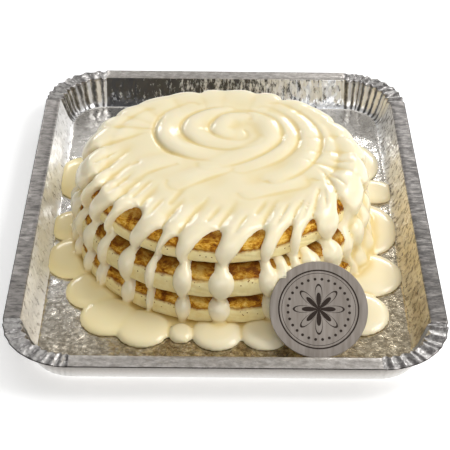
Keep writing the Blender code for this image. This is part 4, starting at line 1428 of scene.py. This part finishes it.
def make_card():
    """A round card with small bevels, leaning back from its foot on the tray."""
    radius = CARD_DIAMETER / 2
    half = CARD_THICKNESS / 2
    profile = [(radius - CARD_BEVEL, -half), (radius, -half + CARD_BEVEL), (radius, half - CARD_BEVEL),
               (radius - CARD_BEVEL, half)]
    angles = [2 * math.pi * segment / CARD_SEGMENTS for segment in range(CARD_SEGMENTS)]
    points = [Vector((reach * math.cos(angle), reach * math.sin(angle), depth)) * MM
              for reach, depth in profile for angle in angles]
    card = mesh_object("round_card", points, ring_faces(len(profile), CARD_SEGMENTS), card_material())
    card.data.set_sharp_from_angle(angle=math.radians(30))
    place = card_matrix()
    place.translation *= MM
    card.matrix_world = place
    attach(card, "root")
    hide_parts("label_disc")


# Stage, camera and light


def make_stage():
    corners = [(side_x * TABLE_HALF, side_y * TABLE_HALF, -TABLE_DROP) for side_x, side_y in CORNER_SIGNS]
    table = mesh_object("pale_table", corners, [(0, 1, 2, 3)], table_material())


def make_camera():
    camera = link(bpy.data.objects.new("camera", bpy.data.cameras.new("camera")))
    camera.data.lens = CAMERA_LENS
    camera.data.sensor_width = CAMERA_SENSOR
    camera.matrix_world = Matrix.Translation(CAMERA_PLACE)
    for angle, axis in ((-CAMERA_TURN, "Z"), (90 - CAMERA_DOWN, "X"), (CAMERA_ROLL, "Z")):
        camera.matrix_world @= Matrix.Rotation(math.radians(angle), 4, axis)
    bpy.context.scene.camera = camera


def make_light():
    world = bpy.data.worlds.new("studio")
    bpy.context.scene.world = world
    look = Look(world, "Generated")
    front, back = (look.ramp(look.z, [(place, (grey, grey, grey)) for place, grey in stops])
                   for stops in (FRONT_GREYS, BACK_GREYS))
    behind = ((look.y - 0.45) / 0.2).clamped()
    look.feed(look.nodes["Background"],
              {"Color": look.mix(behind, front, back), "Strength": SURROUNDINGS_STRENGTH})
    for name, (place, aim_height, size, power, colour) in LIGHTS.items():
        light = bpy.data.lights.new(name, "AREA")
        light.shape = "RECTANGLE"
        light.size, light.size_y = size
        light.energy = power
        light.color = colour
        item = link(bpy.data.objects.new(name, light))
        item.location = place
        toward = Vector((0, 0, aim_height)) - Vector(place)
        item.rotation_euler = toward.to_track_quat("-Z", "Y").to_euler()
    bpy.context.scene.view_settings.view_transform = "Standard"


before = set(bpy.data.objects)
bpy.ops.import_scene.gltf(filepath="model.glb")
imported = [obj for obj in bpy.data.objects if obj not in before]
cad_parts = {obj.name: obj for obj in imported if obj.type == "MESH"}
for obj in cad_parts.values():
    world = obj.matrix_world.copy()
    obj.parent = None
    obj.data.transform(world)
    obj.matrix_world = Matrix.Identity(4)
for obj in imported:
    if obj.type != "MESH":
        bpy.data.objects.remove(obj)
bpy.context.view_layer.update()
make_camera()
make_stage()
make_light()
for pancake_name in PANCAKES:
    make_pancake(pancake_name)
make_sauce()
make_tray()
make_card()
